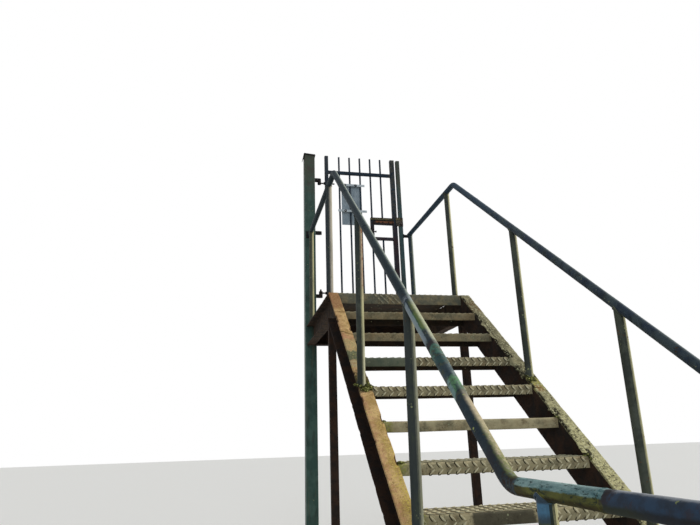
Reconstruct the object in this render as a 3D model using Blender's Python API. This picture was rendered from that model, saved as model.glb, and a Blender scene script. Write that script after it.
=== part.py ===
# Steel bar gate between two posts, at the head of a flight of access steps with bent tube handrails.
# Metres, +Z up. The way up runs along +Y, and X is across the flight.
# While the pieces are made, Y = 0 is the landing's front edge, X = 0 the middle and Z = 0 the floor.
# At the end the whole is moved so that the middle of its footprint lies on the origin.
import math

import bpy
import bmesh
from mathutils import Matrix, Vector

# Clearance left between pieces that touch
GAP = 0.0003

# Flight and landing
FLIGHT_WIDTH = 0.900
GOING = 0.216
RISE = 0.179
RISE_COUNT = 11
LANDING_LENGTH = 1.200
PITCH = math.atan2(RISE, GOING)
LANDING_HEIGHT = RISE * RISE_COUNT

# Rolled channel of the stringers and the landing, its toes outwards
CHANNEL_DEPTH = 0.180
CHANNEL_FLANGE = 0.070
CHANNEL_WEB = 0.008
CHANNEL_FLANGE_THICKNESS = 0.011

# Folded plate of the treads and the landing
PLATE = 0.005
FOLD_RADIUS = 0.009
FOLD_STEPS = 4
TREAD_DEPTH = 0.220
TREAD_LIP = 0.050
DECK_LIP = 0.075

# Angle under the middle of the landing
BEARER_LEG = 0.050
BEARER_THICKNESS = 0.006
BEARER_Y = 0.600

# Legs under the front of the landing
LEG_WIDTH = 0.050
LEG_CLEARANCE = 0.002
LEG_Y = CHANNEL_DEPTH * math.tan(PITCH / 2) + LEG_CLEARANCE + LEG_WIDTH / 2

# Handrails and their posts, which stand on the middle of the channels' flanges
RAIL_RADIUS = 0.0212
RAIL_SIDES = 20
RAIL_BEND_RADIUS = 0.090
RAIL_BEND_STEPS = 7
RAIL_X = FLIGHT_WIDTH / 2 + CHANNEL_FLANGE / 2
RAIL_FOOT_HEIGHT = 0.889
RAIL_BEND_SETBACK = 0.018
RAIL_OVERHANG = 0.030
LEFT_RAIL_HEIGHT = 0.859
LEFT_PEAK_Y = -0.121
RIGHT_RAIL_HEIGHT = 0.895
RIGHT_PEAK_Y = 0.028
RAIL_POST_RADIUS = 0.0212
RAIL_POST_SIDES = 20
RAIL_POST_HEAD_DROP = 0.008
LEFT_BACK_POST_INSET = 0.100
RIGHT_BACK_POST_INSET = 0.040

# The other rail posts: places in goings down from the landing's edge, and how far each foot leans outwards
LEFT_POST_PLACES = (-0.46, 3.91, 7.73, 11.8, 15.74)
LEFT_FOOT_LEANS = (0.003, 0.012, 0.014, 0.0, 0.0)
RIGHT_POST_PLACES = (-0.83, 3.67, 7.50, 11.57, 15.51)
RIGHT_FOOT_LEANS = (0.0, 0.0, -0.012, 0.0, 0.0)

# Gate posts
HINGE_POST_WIDTH = 0.100
HINGE_POST_OUTSET = 0.0305
HINGE_POST_X = -FLIGHT_WIDTH / 2 - HINGE_POST_OUTSET
HINGE_POST_Y = LANDING_LENGTH + GAP + HINGE_POST_WIDTH / 2
CAP_OVERHANG = 0.005
CAP_THICKNESS = 0.005
CAP_SKIRT = 0.016
LATCH_POST_WIDTH = 0.038
LATCH_POST_INSET = 0.036
LATCH_POST_X = FLIGHT_WIDTH / 2 - LATCH_POST_INSET
LATCH_POST_Y = LANDING_LENGTH + GAP + LATCH_POST_WIDTH / 2
CORNER_RADIUS = 0.005
CORNER_STEPS = 3

# Gate leaf; its heights are above the landing
LEAF_SETBACK = 0.025
LEAF_Y = LANDING_LENGTH + LEAF_SETBACK
HINGE_SPACE = 0.1005
LATCH_SPACE = 0.017
LEAF_LEFT = HINGE_POST_X + HINGE_POST_WIDTH / 2 + HINGE_SPACE
LEAF_RIGHT = LATCH_POST_X - LATCH_POST_WIDTH / 2 - LATCH_SPACE
LEAF_BOTTOM = 0.070
LEAF_TOP = 1.702
POST_STEP_DOWN = 0.004
HINGE_POST_HEIGHT = LEAF_TOP - POST_STEP_DOWN
LATCH_POST_HEIGHT = LEAF_TOP - 2 * POST_STEP_DOWN
STILE_WIDTH = 0.035
LEAF_RAIL_WIDTH = 0.030
TOP_RAIL_DROP = 0.171
TOP_RAIL_HEIGHT = LEAF_TOP - TOP_RAIL_DROP
BOTTOM_RAIL_LIFT = 0.040
BOTTOM_RAIL_HEIGHT = LEAF_BOTTOM + BOTTOM_RAIL_LIFT
BAR_RADIUS = 0.009
BAR_SIDES = 14
BAR_COUNT = 5
BAR_PITCH = 0.156 * (LEAF_RIGHT - LEAF_LEFT - STILE_WIDTH)

# Lock frame, which takes the place of a stretch of the two bars next to the lock stile
LOCK_TOP = 1.070
LOCK_HEIGHT = 0.225
LOCK_BOTTOM = LOCK_TOP - LOCK_HEIGHT
LOCK_SIDE_WIDTH = 0.031
LOCK_TOP_WIDTH = 0.031
LOCK_FOOT_WIDTH = 0.024
LOCK_DEPTH = 0.032
LOCK_CASE_HEIGHT = 0.034
LOCK_CASE_DEPTH = 0.038
LOCK_CASE_GAP = 0.0015
LOCK_BOLT_RADIUS = 0.008
LOCK_BOLT_PROUD = 0.004
KNOB_LIFT = 0.085
KNOB_STEM_RADIUS = 0.005
KNOB_STEM_LENGTH = 0.014
KNOB_RADIUS = 0.011
KNOB_LENGTH = 0.010

# Keeper on the front of the latch post, against which the leaf closes
KEEPER_RISE = 0.005
KEEPER_HEIGHT = 0.090
KEEPER_THICKNESS = 0.006
KEEPER_LAP = 0.016

# Hinges: hooks on the post, and adjustable eye bolts through the stile
HINGE_REACH = 0.055
HINGE_X = LEAF_LEFT - HINGE_REACH
HINGE_PIN_RADIUS = 0.008
HINGE_EYE_CLEARANCE = 0.0005
HINGE_EYE_WALL = 0.009
HINGE_EYE_HEIGHT = 0.030
HINGE_HOOK_HEIGHT = 0.028
HINGE_HOOK_WIDTH = 0.034
HINGE_FLOAT = 0.001
TOP_EYE_DROP = 0.123
TOP_EYE_HEIGHT = TOP_RAIL_HEIGHT - TOP_EYE_DROP
BOTTOM_EYE_LIFT = 0.235
BOTTOM_EYE_HEIGHT = LEAF_BOTTOM + BOTTOM_EYE_LIFT
PIN_PROUD = 0.018
ROD_RADIUS = 0.007
ROD_PROUD = 0.060
NUT_RADIUS = 0.014
NUT_LENGTH = 0.011
SPARE_HOOK_HEIGHT = 0.890

# Bare plate behind the first three bars, held by two clamp bars in front of them
SIGN_DROP = 0.119
SIGN_TOP = TOP_RAIL_HEIGHT - SIGN_DROP
SIGN_HEIGHT = 0.422
SIGN_THICKNESS = 0.003
SIGN_LEFT_INSET = 0.021
SIGN_RIGHT_OUTSET = 0.004
CLAMP_HEIGHT = 0.022
CLAMP_THICKNESS = 0.005
CLAMP_BOLT_RADIUS = 0.004
CLAMP_BOLT_PROUD = 0.008
CLAMP_BOLT_SIDES = 10

# Each clamp bar: its drop below the plate's top, and its ends to the right of the first and the third bar
UPPER_CLAMP = (0.012, 0.029, 0.039)
LOWER_CLAMP = (0.284, -0.019, 0.054)

# Joints between the handrails and the gate posts
END_PLATE_THICKNESS = 0.008
END_PLATE_WIDTH = 0.070
END_PLATE_HEIGHT = 0.066
STUB_HEIGHT = 0.030
STUB_THICKNESS = 0.012

# Sides of a full circle where no other count is given
ROUND_SIDES = 20


def clear_scene():
    for obj in list(bpy.data.objects):
        bpy.data.objects.remove(obj, do_unlink=True)


def finish(name, colour, roughness, metallic):
    """A plain painted or rusted steel finish."""
    material = bpy.data.materials.new(name)
    material.use_nodes = True
    shader = material.node_tree.nodes["Principled BSDF"]
    shader.inputs["Base Color"].default_value = (*colour, 1.0)
    shader.inputs["Roughness"].default_value = roughness
    shader.inputs["Metallic"].default_value = metallic
    return material


def empty(name, location, parent=None):
    holder = bpy.data.objects.new(name, None)
    bpy.context.scene.collection.objects.link(holder)
    holder.location = location
    holder.parent = parent
    return holder


def add_piece(name, mesh, material, parent):
    """Puts a mesh made in building coordinates under its parent, which may stand elsewhere."""
    obj = bpy.data.objects.new(name, mesh)
    bpy.context.scene.collection.objects.link(obj)
    obj.parent = parent
    mesh.transform(Matrix.Translation(-parent.location))
    mesh.materials.append(material)
    mesh.shade_smooth()
    mesh.set_sharp_from_angle(angle=math.radians(35))
    return obj


def add_cutter(name, mesh, parent):
    """A helper for a Boolean, left out of the render."""
    obj = bpy.data.objects.new(name, mesh)
    bpy.context.scene.collection.objects.link(obj)
    obj.parent = parent
    mesh.transform(Matrix.Translation(-parent.location))
    obj.hide_render = True
    obj.display_type = "WIRE"
    return obj


def boolean(obj, other, operation):
    modifier = obj.modifiers.new(other.name, "BOOLEAN")
    modifier.operation = operation
    modifier.solver = "EXACT"
    modifier.object = other


def lofted(name, rings):
    """A closed solid through rings of equally many points, with flat ends."""
    bm = bmesh.new()
    loops = [[bm.verts.new(point) for point in ring] for ring in rings]
    for near, far in zip(loops, loops[1:]):
        for i in range(len(near)):
            j = (i + 1) % len(near)
            bm.faces.new((near[i], near[j], far[j], far[i]))
    bm.faces.new(loops[0])
    bm.faces.new(loops[-1])
    bmesh.ops.recalc_face_normals(bm, faces=bm.faces)
    mesh = bpy.data.meshes.new(name)
    bm.to_mesh(mesh)
    bm.free()
    return mesh


def extruded(name, outline, axis, low, high):
    """An outline of the two other coordinates, in X, Y, Z order, drawn from low to high along an axis."""
    def ring(level):
        points = []
        for a, b in outline:
            if axis == "X":
                points.append((level, a, b))
            elif axis == "Y":
                points.append((a, level, b))
            else:
                points.append((a, b, level))
        return points

    return lofted(name, [ring(low), ring(high)])


def rectangle(low_a, high_a, low_b, high_b):
    return [(low_a, low_b), (high_a, low_b), (high_a, high_b), (low_a, high_b)]


def arc(centre, radius, start, end, steps):
    """Points along an arc, its angles in degrees."""
    points = []
    for i in range(steps + 1):
        angle = math.radians(start + (end - start) * i / steps)
        points.append((centre[0] + radius * math.cos(angle), centre[1] + radius * math.sin(angle)))
    return points


def rounded_rectangle(low_a, high_a, low_b, high_b, radius):
    outline = []
    corners = ((high_a, high_b, 0), (low_a, high_b, 90), (low_a, low_b, 180), (high_a, low_b, 270))
    for a, b, start in corners:
        centre = (a - math.copysign(radius, a - (low_a + high_a) / 2),
                  b - math.copysign(radius, b - (low_b + high_b) / 2))
        outline += arc(centre, radius, start, start + 90, CORNER_STEPS)
    return outline


def circle(centre, radius, sides):
    return arc(centre, radius, 0, 360 - 360 / sides, sides - 1)


def box_post(name, centre_x, centre_y, width, low, high):
    half = width / 2
    outline = rounded_rectangle(centre_x - half, centre_x + half, centre_y - half, centre_y + half, CORNER_RADIUS)
    return extruded(name, outline, "Z", low, high)


# Stringers and landing

def channel_profile():
    """(distance outwards from the flat back, distance below the top), anticlockwise."""
    web, flange, depth, thick = CHANNEL_WEB, CHANNEL_FLANGE, CHANNEL_DEPTH, CHANNEL_FLANGE_THICKNESS
    return [(0, 0), (flange, 0), (flange, thick), (web, thick),
            (web, depth - thick), (flange, depth - thick), (flange, depth), (0, depth)]


def stringer(name, side):
    """Its top end is mitred to the landing and its foot is cut level with the floor."""
    foot = []
    head = []
    for out, down in channel_profile():
        x = side * (FLIGHT_WIDTH / 2 + out)
        reach_head = -down * math.tan(PITCH / 2) - GAP / 2
        reach_foot = -(LANDING_HEIGHT - down * math.cos(PITCH)) / math.sin(PITCH)
        for ring, reach in ((foot, reach_foot), (head, reach_head)):
            y = reach * math.cos(PITCH) + down * math.sin(PITCH)
            z = LANDING_HEIGHT + reach * math.sin(PITCH) - down * math.cos(PITCH)
            ring.append((x, y, z))
    return lofted(name, [foot, head])


def landing_beam(name, side):
    front = []
    back = []
    for out, down in channel_profile():
        x = side * (FLIGHT_WIDTH / 2 + out)
        front.append((x, down * math.tan(PITCH / 2) + GAP / 2, LANDING_HEIGHT - down))
        back.append((x, LANDING_LENGTH, LANDING_HEIGHT - down))
    return lofted(name, [front, back])


def rear_beam(name):
    """Channel across the back of the landing, its flat back to the gate posts and its top under the plate."""
    top = LANDING_HEIGHT - PLATE - GAP
    outline = [(LANDING_LENGTH - out, top - down) for out, down in channel_profile()]
    half = FLIGHT_WIDTH / 2 - GAP
    return extruded(name, outline, "X", -half, half)


def bearer(name):
    top = LANDING_HEIGHT - PLATE - GAP
    leg, thick = BEARER_LEG, BEARER_THICKNESS
    outline = [(BEARER_Y, top), (BEARER_Y + leg, top), (BEARER_Y + leg, top - thick),
               (BEARER_Y + thick, top - thick), (BEARER_Y + thick, top - leg), (BEARER_Y, top - leg)]
    half = FLIGHT_WIDTH / 2 - GAP
    return extruded(name, outline, "X", -half, half)


def folded_nose(front, top, lip):
    """Outer and inner outline of a plate folded down at its front edge, from the lip's foot up to the top."""
    outer_radius = FOLD_RADIUS
    inner_radius = FOLD_RADIUS - PLATE
    centre = (front + FOLD_RADIUS, top - FOLD_RADIUS)
    outer = [(front, top - lip)] + arc(centre, outer_radius, 180, 90, FOLD_STEPS)
    inner = arc(centre, inner_radius, 90, 180, FOLD_STEPS) + [(front + PLATE, top - lip)]
    return outer, inner


def tread(name, number):
    """A plate folded down at the front and the back, between the stringers' flat backs."""
    front = -number * GOING
    top = LANDING_HEIGHT - number * RISE
    outer, inner = folded_nose(0, top, TREAD_LIP)
    left = [(front + y, z) for y, z in outer]
    right = [(front + TREAD_DEPTH - y, z) for y, z in reversed(outer)]
    under_right = [(front + TREAD_DEPTH - y, z) for y, z in reversed(inner)]
    under_left = [(front + y, z) for y, z in inner]
    half = FLIGHT_WIDTH / 2 - GAP
    return extruded(name, left + right + under_right + under_left, "X", -half, half)


def landing_deck(name):
    outer, inner = folded_nose(0, LANDING_HEIGHT, DECK_LIP)
    back = [(LANDING_LENGTH, LANDING_HEIGHT), (LANDING_LENGTH, LANDING_HEIGHT - PLATE)]
    half = FLIGHT_WIDTH / 2 - GAP
    return extruded(name, outer + back + inner, "X", -half, half)


def landing_leg(name, side):
    top = LANDING_HEIGHT - CHANNEL_DEPTH - GAP
    return box_post(name, side * RAIL_X, LEG_Y, LEG_WIDTH, 0, top)


# Handrails

def rounded_path(corners, radius, steps):
    """Corner points in one plane, with each inner corner replaced by an arc."""
    path = [corners[0]]
    for before, corner, after in zip(corners, corners[1:], corners[2:]):
        back = (before - corner).normalized()
        forth = (after - corner).normalized()
        half_turn = (math.pi - back.angle(forth)) / 2
        reach = radius * math.tan(half_turn)
        centre = corner + (back + forth).normalized() * radius / math.cos(half_turn)
        start = (corner + back * reach - centre).normalized()
        end = (corner + forth * reach - centre).normalized()
        for i in range(steps + 1):
            path.append(centre + start.slerp(end, i / steps) * radius)
    path.append(corners[-1])
    return path


def tube(name, path, radius, sides):
    """A round tube along a path that lies in a plane across X, with its rings mitred at each point."""
    across = Vector((1, 0, 0))
    rings = []
    for i, point in enumerate(path):
        before = (point - path[max(i - 1, 0)]).normalized()
        after = (path[min(i + 1, len(path) - 1)] - point).normalized()
        tangent = (before + after).normalized()
        lift = tangent.cross(across)
        reference = after if after.length > 0 else before
        stretch = 1 / max(tangent.dot(reference), 0.5)
        ring = []
        for j in range(sides):
            angle = 2 * math.pi * j / sides
            ring.append(point + across * radius * math.cos(angle) + lift * radius * stretch * math.sin(angle))
        rings.append(ring)
    return lofted(name, rings)


def rail_corners(side, height, peak_y, post_ys, back_end):
    """Level over the landing, down beside the flight, and level again over the floor."""
    x = side * RAIL_X
    top = LANDING_HEIGHT + height
    bend_y = -RISE_COUNT * GOING - RAIL_BEND_SETBACK
    return [Vector((x, back_end, top)), Vector((x, peak_y, top)),
            Vector((x, bend_y, RAIL_FOOT_HEIGHT)),
            Vector((x, post_ys[-1] - RAIL_OVERHANG, RAIL_FOOT_HEIGHT))]


def rail_level(corners, y):
    """Height of the rail's axis at a place along the flight."""
    for a, b in zip(corners, corners[1:]):
        if b.y <= y <= a.y:
            return a.z + (b.z - a.z) * (a.y - y) / (a.y - b.y)
    return corners[0].z


def seat_level(y):
    """Top of the flange or of the floor under a rail post."""
    if y >= 0:
        return LANDING_HEIGHT + GAP
    if y > -LANDING_HEIGHT / math.tan(PITCH):
        return LANDING_HEIGHT + y * math.tan(PITCH) + GAP
    return 0.0


def rail_post(name, corners, y, foot_shift):
    """Its foot is cut to the slope that it stands on, and its head ends just below the rail's axis."""
    foot = []
    head = []
    for px, py in circle((corners[0].x, y), RAIL_POST_RADIUS, RAIL_POST_SIDES):
        foot.append((px + foot_shift, py, seat_level(py)))
        head.append((px, py, rail_level(corners, py) - RAIL_POST_HEAD_DROP))
    return lofted(name, [foot, head])


def handrail(side_name, side, height, peak_y, back_post_y, places, leans, back_end, materials, parent):
    """The rail, and its posts with their heads coped to it."""
    post_ys = [back_post_y] + [-place * GOING for place in places]
    foot_shifts = [0] + [side * lean for lean in leans]
    corners = rail_corners(side, height, peak_y, post_ys, back_end)
    path = rounded_path(corners, RAIL_BEND_RADIUS, RAIL_BEND_STEPS)
    rail = tube(f"{side_name}_handrail", path, RAIL_RADIUS, RAIL_SIDES)
    add_piece(f"{side_name}_handrail", rail, materials["rail"], parent)
    cope = tube(f"{side_name}_cope", path, RAIL_RADIUS + GAP, RAIL_SIDES)
    cutter = add_cutter(f"{side_name}_cope", cope, parent)
    for number, (y, foot_shift) in enumerate(zip(post_ys, foot_shifts), start=1):
        name = f"{side_name}_rail_post_{number}"
        post = add_piece(name, rail_post(name, corners, y, foot_shift), materials["rail_post"], parent)
        boolean(post, cutter, "DIFFERENCE")


# Gate posts and hinges

def post_cap(name):
    """A lid with a skirt on the hinge post."""
    top = LANDING_HEIGHT + HINGE_POST_HEIGHT + GAP
    half = HINGE_POST_WIDTH / 2 + CAP_OVERHANG
    inner = HINGE_POST_WIDTH / 2 + GAP

    def square(reach, level):
        corners = rectangle(HINGE_POST_X - reach, HINGE_POST_X + reach, HINGE_POST_Y - reach, HINGE_POST_Y + reach)
        return [(x, y, level) for x, y in corners]

    rings = [square(inner, top), square(inner, top - CAP_SKIRT), square(half, top - CAP_SKIRT),
             square(half, top + CAP_THICKNESS)]
    return lofted(name, rings)


def hook_outline():
    """Seen from above: a flat bar from the post's side with a round end about the pin."""
    half = HINGE_HOOK_WIDTH / 2
    face = HINGE_POST_X + HINGE_POST_WIDTH / 2 + GAP
    return [(face, LEAF_Y + half), (face, LEAF_Y - half)] + arc((HINGE_X, LEAF_Y), half, -90, 90, 10)


def hinge_hook(name, low, pin_from, pin_to, material, parent):
    """A bracket on the post with the pin that the eye turns on."""
    bracket = extruded(name, hook_outline(), "Z", low, low + HINGE_HOOK_HEIGHT)
    hook = add_piece(name, bracket, material, parent)
    if pin_from is None:
        return
    pin = extruded(f"{name}_pin", circle((HINGE_X, LEAF_Y), HINGE_PIN_RADIUS, ROUND_SIDES), "Z", pin_from, pin_to)
    boolean(hook, add_cutter(f"{name}_pin", pin, parent), "UNION")


def hinge_eye(name, height, material, parent):
    """An eye about the pin, with a threaded rod through the stile and a nut on each side of it."""
    middle = LANDING_HEIGHT + height
    hole_radius = HINGE_PIN_RADIUS + HINGE_EYE_CLEARANCE
    outer = circle((HINGE_X, LEAF_Y), hole_radius + HINGE_EYE_WALL, ROUND_SIDES)
    low = middle - HINGE_EYE_HEIGHT / 2
    high = middle + HINGE_EYE_HEIGHT / 2
    eye = add_piece(name, extruded(name, outer, "Z", low, high), material, parent)
    rod_start = HINGE_X + hole_radius + HINGE_EYE_WALL / 2
    rod_end = LEAF_LEFT + STILE_WIDTH + ROD_PROUD
    rod = extruded(f"{name}_rod", circle((LEAF_Y, middle), ROD_RADIUS, 12), "X", rod_start, rod_end)
    boolean(eye, add_cutter(f"{name}_rod", rod, parent), "UNION")
    for place, face in (("outer", LEAF_LEFT - GAP - NUT_LENGTH), ("inner", LEAF_LEFT + STILE_WIDTH + GAP)):
        nut = extruded(f"{name}_{place}_nut", circle((LEAF_Y, middle), NUT_RADIUS, 6), "X", face, face + NUT_LENGTH)
        boolean(eye, add_cutter(f"{name}_{place}_nut", nut, parent), "UNION")
    hole = extruded(f"{name}_hole", circle((HINGE_X, LEAF_Y), hole_radius, ROUND_SIDES), "Z",
                    low - HINGE_EYE_HEIGHT, high + HINGE_EYE_HEIGHT)
    boolean(eye, add_cutter(f"{name}_hole", hole, parent), "DIFFERENCE")


# Gate leaf

def bar_places():
    middle = (LEAF_LEFT + LEAF_RIGHT) / 2
    return [middle + BAR_PITCH * (i - (BAR_COUNT - 1) / 2) for i in range(BAR_COUNT)]


def lock_left():
    """Left edge of the lock frame, whose side is centred on the last bar but one."""
    return bar_places()[-2] - LOCK_SIDE_WIDTH / 2


def stile(name, left, holes, material, parent):
    """A box section with a hole for each rod or bolt that goes through it."""
    centre = left + STILE_WIDTH / 2
    mesh = box_post(name, centre, LEAF_Y, STILE_WIDTH, LANDING_HEIGHT + LEAF_BOTTOM, LANDING_HEIGHT + LEAF_TOP)
    piece = add_piece(name, mesh, material, parent)
    for number, (height, radius) in enumerate(holes, start=1):
        outline = circle((LEAF_Y, LANDING_HEIGHT + height), radius + GAP, 12)
        hole = extruded(f"{name}_hole_{number}", outline, "X", left - STILE_WIDTH, left + 2 * STILE_WIDTH)
        boolean(piece, add_cutter(f"{name}_hole_{number}", hole, parent), "DIFFERENCE")


def leaf_rail(name, height):
    half = LEAF_RAIL_WIDTH / 2
    middle = LANDING_HEIGHT + height
    outline = rounded_rectangle(LEAF_Y - half, LEAF_Y + half, middle - half, middle + half, CORNER_RADIUS)
    return extruded(name, outline, "X", LEAF_LEFT + STILE_WIDTH + GAP, LEAF_RIGHT - STILE_WIDTH - GAP)


def leaf_bars(name, material, parent):
    """The top and bottom rails with the bars welded through them; two bars stop at the lock frame."""
    grille = add_piece(name, leaf_rail(name, TOP_RAIL_HEIGHT), material, parent)
    lower = leaf_rail(f"{name}_bottom_rail", BOTTOM_RAIL_HEIGHT)
    pieces = [add_cutter(f"{name}_bottom_rail", lower, parent)]
    full = [(BOTTOM_RAIL_HEIGHT, LEAF_TOP)]
    cut = [(BOTTOM_RAIL_HEIGHT, LOCK_BOTTOM - GAP), (LOCK_TOP + GAP, LEAF_TOP)]
    for number, x in enumerate(bar_places(), start=1):
        stretches = cut if x > lock_left() else full
        for part, (low, high) in enumerate(stretches, start=1):
            label = f"{name}_{number}_{part}"
            outline = circle((x, LEAF_Y), BAR_RADIUS, BAR_SIDES)
            bar = extruded(label, outline, "Z", LANDING_HEIGHT + low, LANDING_HEIGHT + high)
            pieces.append(add_cutter(label, bar, parent))
    for piece in pieces:
        boolean(grille, piece, "UNION")


def lock_frame(name):
    """Three sides of a frame, open towards the stile."""
    left = lock_left()
    right = LEAF_RIGHT - STILE_WIDTH - GAP
    inner = left + LOCK_SIDE_WIDTH
    low = LANDING_HEIGHT + LOCK_BOTTOM
    high = LANDING_HEIGHT + LOCK_TOP
    outline = [(left, low), (right, low), (right, low + LOCK_FOOT_WIDTH), (inner, low + LOCK_FOOT_WIDTH),
               (inner, high - LOCK_TOP_WIDTH), (right, high - LOCK_TOP_WIDTH), (right, high), (left, high)]
    return extruded(name, outline, "Y", LEAF_Y - LOCK_DEPTH / 2, LEAF_Y + LOCK_DEPTH / 2)


def lock_case_middle():
    return LOCK_TOP - LOCK_TOP_WIDTH - LOCK_CASE_GAP - LOCK_CASE_HEIGHT / 2


def lock_case(name, material, parent):
    """The lock under the top of its frame, with its bolt drawn back almost flush with the stile."""
    left = lock_left() + LOCK_SIDE_WIDTH + GAP
    right = LEAF_RIGHT - STILE_WIDTH - GAP
    middle = LANDING_HEIGHT + lock_case_middle()
    half_depth = LOCK_CASE_DEPTH / 2
    half_height = LOCK_CASE_HEIGHT / 2
    outline = rounded_rectangle(LEAF_Y - half_depth, LEAF_Y + half_depth,
                                middle - half_height, middle + half_height, CORNER_RADIUS)
    case = add_piece(name, extruded(name, outline, "X", left, right), material, parent)
    bolt = extruded(f"{name}_bolt", circle((LEAF_Y, middle), LOCK_BOLT_RADIUS, 12), "X",
                    (left + right) / 2, LEAF_RIGHT + LOCK_BOLT_PROUD)
    boolean(case, add_cutter(f"{name}_bolt", bolt, parent), "UNION")


def latch_knob(name):
    """A turned knob on a stem, on the side of the lock frame's opening."""
    face = lock_left() + LOCK_SIDE_WIDTH + GAP
    neck = face + KNOB_STEM_LENGTH
    end = neck + KNOB_LENGTH
    profile = [(face, KNOB_STEM_RADIUS), (neck, KNOB_STEM_RADIUS), (neck + KNOB_LENGTH * 0.2, KNOB_RADIUS * 0.9),
               (neck + KNOB_LENGTH * 0.5, KNOB_RADIUS), (neck + KNOB_LENGTH * 0.85, KNOB_RADIUS * 0.85),
               (end, KNOB_RADIUS * 0.4)]
    rings = []
    middle = LANDING_HEIGHT + LOCK_BOTTOM + KNOB_LIFT
    for x, radius in profile:
        rings.append([(x, y, z) for y, z in circle((LEAF_Y, middle), radius, 14)])
    return lofted(name, rings)


def keeper(name):
    """A plate on the latch post that laps over the front of the leaf's stile."""
    back = LATCH_POST_Y - LATCH_POST_WIDTH / 2 - GAP
    top = LANDING_HEIGHT + LOCK_TOP + KEEPER_RISE
    outline = rectangle(LEAF_RIGHT - KEEPER_LAP, LATCH_POST_X + LATCH_POST_WIDTH / 2, top - KEEPER_HEIGHT, top)
    return extruded(name, outline, "Y", back - KEEPER_THICKNESS, back)


def clamp_bolt_places():
    bars = bar_places()
    return [(bars[0] + bars[1]) / 2, (bars[1] + bars[2]) / 2]


def sign_face():
    """The plate's side that lies against the back of the bars."""
    return LEAF_Y + BAR_RADIUS + GAP


def back_plate(name, material, parent):
    top = LANDING_HEIGHT + SIGN_TOP
    bars = bar_places()
    outline = rectangle(bars[0] + SIGN_LEFT_INSET, bars[2] + SIGN_RIGHT_OUTSET, top - SIGN_HEIGHT, top)
    plate = add_piece(name, extruded(name, outline, "Y", sign_face(), sign_face() + SIGN_THICKNESS), material, parent)
    for row, (drop, _, _) in enumerate((UPPER_CLAMP, LOWER_CLAMP), start=1):
        for column, x in enumerate(clamp_bolt_places(), start=1):
            label = f"{name}_hole_{row}_{column}"
            outline = circle((x, top - drop), CLAMP_BOLT_RADIUS + GAP, CLAMP_BOLT_SIDES)
            hole = extruded(label, outline, "Y", LEAF_Y, sign_face() + BAR_RADIUS)
            boolean(plate, add_cutter(label, hole, parent), "DIFFERENCE")


def plate_clamp(name, spec, material, parent):
    """A flat bar across the front of the bars, with bolts that go between them to the plate."""
    drop, left, right = spec
    bars = bar_places()
    middle = LANDING_HEIGHT + SIGN_TOP - drop
    back = LEAF_Y - BAR_RADIUS - GAP
    outline = rectangle(bars[0] + left, bars[2] + right, middle - CLAMP_HEIGHT / 2, middle + CLAMP_HEIGHT / 2)
    clamp = add_piece(name, extruded(name, outline, "Y", back - CLAMP_THICKNESS, back), material, parent)
    for number, x in enumerate(clamp_bolt_places(), start=1):
        label = f"{name}_bolt_{number}"
        outline = circle((x, middle), CLAMP_BOLT_RADIUS, CLAMP_BOLT_SIDES)
        bolt = extruded(label, outline, "Y", back - CLAMP_THICKNESS - CLAMP_BOLT_PROUD,
                        sign_face() + SIGN_THICKNESS + CLAMP_BOLT_PROUD)
        boolean(clamp, add_cutter(label, bolt, parent), "UNION")


# Joints of the handrails to the gate posts

def rail_end_plate(name):
    """Between the end of the left handrail and the front of the hinge post."""
    back = LANDING_LENGTH
    middle = LANDING_HEIGHT + LEFT_RAIL_HEIGHT
    outline = rectangle(-RAIL_X - END_PLATE_WIDTH / 2, -RAIL_X + END_PLATE_WIDTH / 2,
                        middle - END_PLATE_HEIGHT / 2, middle + END_PLATE_HEIGHT / 2)
    return extruded(name, outline, "Y", back - END_PLATE_THICKNESS, back)


def rail_stub(name):
    """A flat bar from the side of the right handrail to the side of the latch post."""
    middle = LANDING_HEIGHT + RIGHT_RAIL_HEIGHT
    left = LATCH_POST_X + LATCH_POST_WIDTH / 2 + GAP
    right = RAIL_X + RAIL_RADIUS
    low_y = LANDING_LENGTH + GAP
    outline = rectangle(low_y, low_y + STUB_THICKNESS, middle - STUB_HEIGHT / 2, middle + STUB_HEIGHT / 2)
    return extruded(name, outline, "X", left, right)


def build_steps(materials, parent):
    for side_name, side in (("left", -1), ("right", 1)):
        add_piece(f"{side_name}_stringer", stringer("stringer", side), materials["channel"], parent)
        add_piece(f"{side_name}_landing_beam", landing_beam("landing_beam", side), materials["channel"], parent)
        add_piece(f"{side_name}_landing_leg", landing_leg("landing_leg", side), materials["channel"], parent)
    add_piece("rear_landing_beam", rear_beam("rear_beam"), materials["channel"], parent)
    add_piece("landing_bearer", bearer("bearer"), materials["channel"], parent)
    add_piece("landing_deck", landing_deck("deck"), materials["tread"], parent)
    for number in range(1, RISE_COUNT):
        add_piece(f"tread_{number:02d}", tread("tread", number), materials["tread"], parent)
    handrail("left", -1, LEFT_RAIL_HEIGHT, LEFT_PEAK_Y, LANDING_LENGTH - LEFT_BACK_POST_INSET,
             LEFT_POST_PLACES, LEFT_FOOT_LEANS, LANDING_LENGTH - END_PLATE_THICKNESS - GAP, materials, parent)
    handrail("right", 1, RIGHT_RAIL_HEIGHT, RIGHT_PEAK_Y, LANDING_LENGTH - RIGHT_BACK_POST_INSET,
             RIGHT_POST_PLACES, RIGHT_FOOT_LEANS, LANDING_LENGTH, materials, parent)


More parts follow.
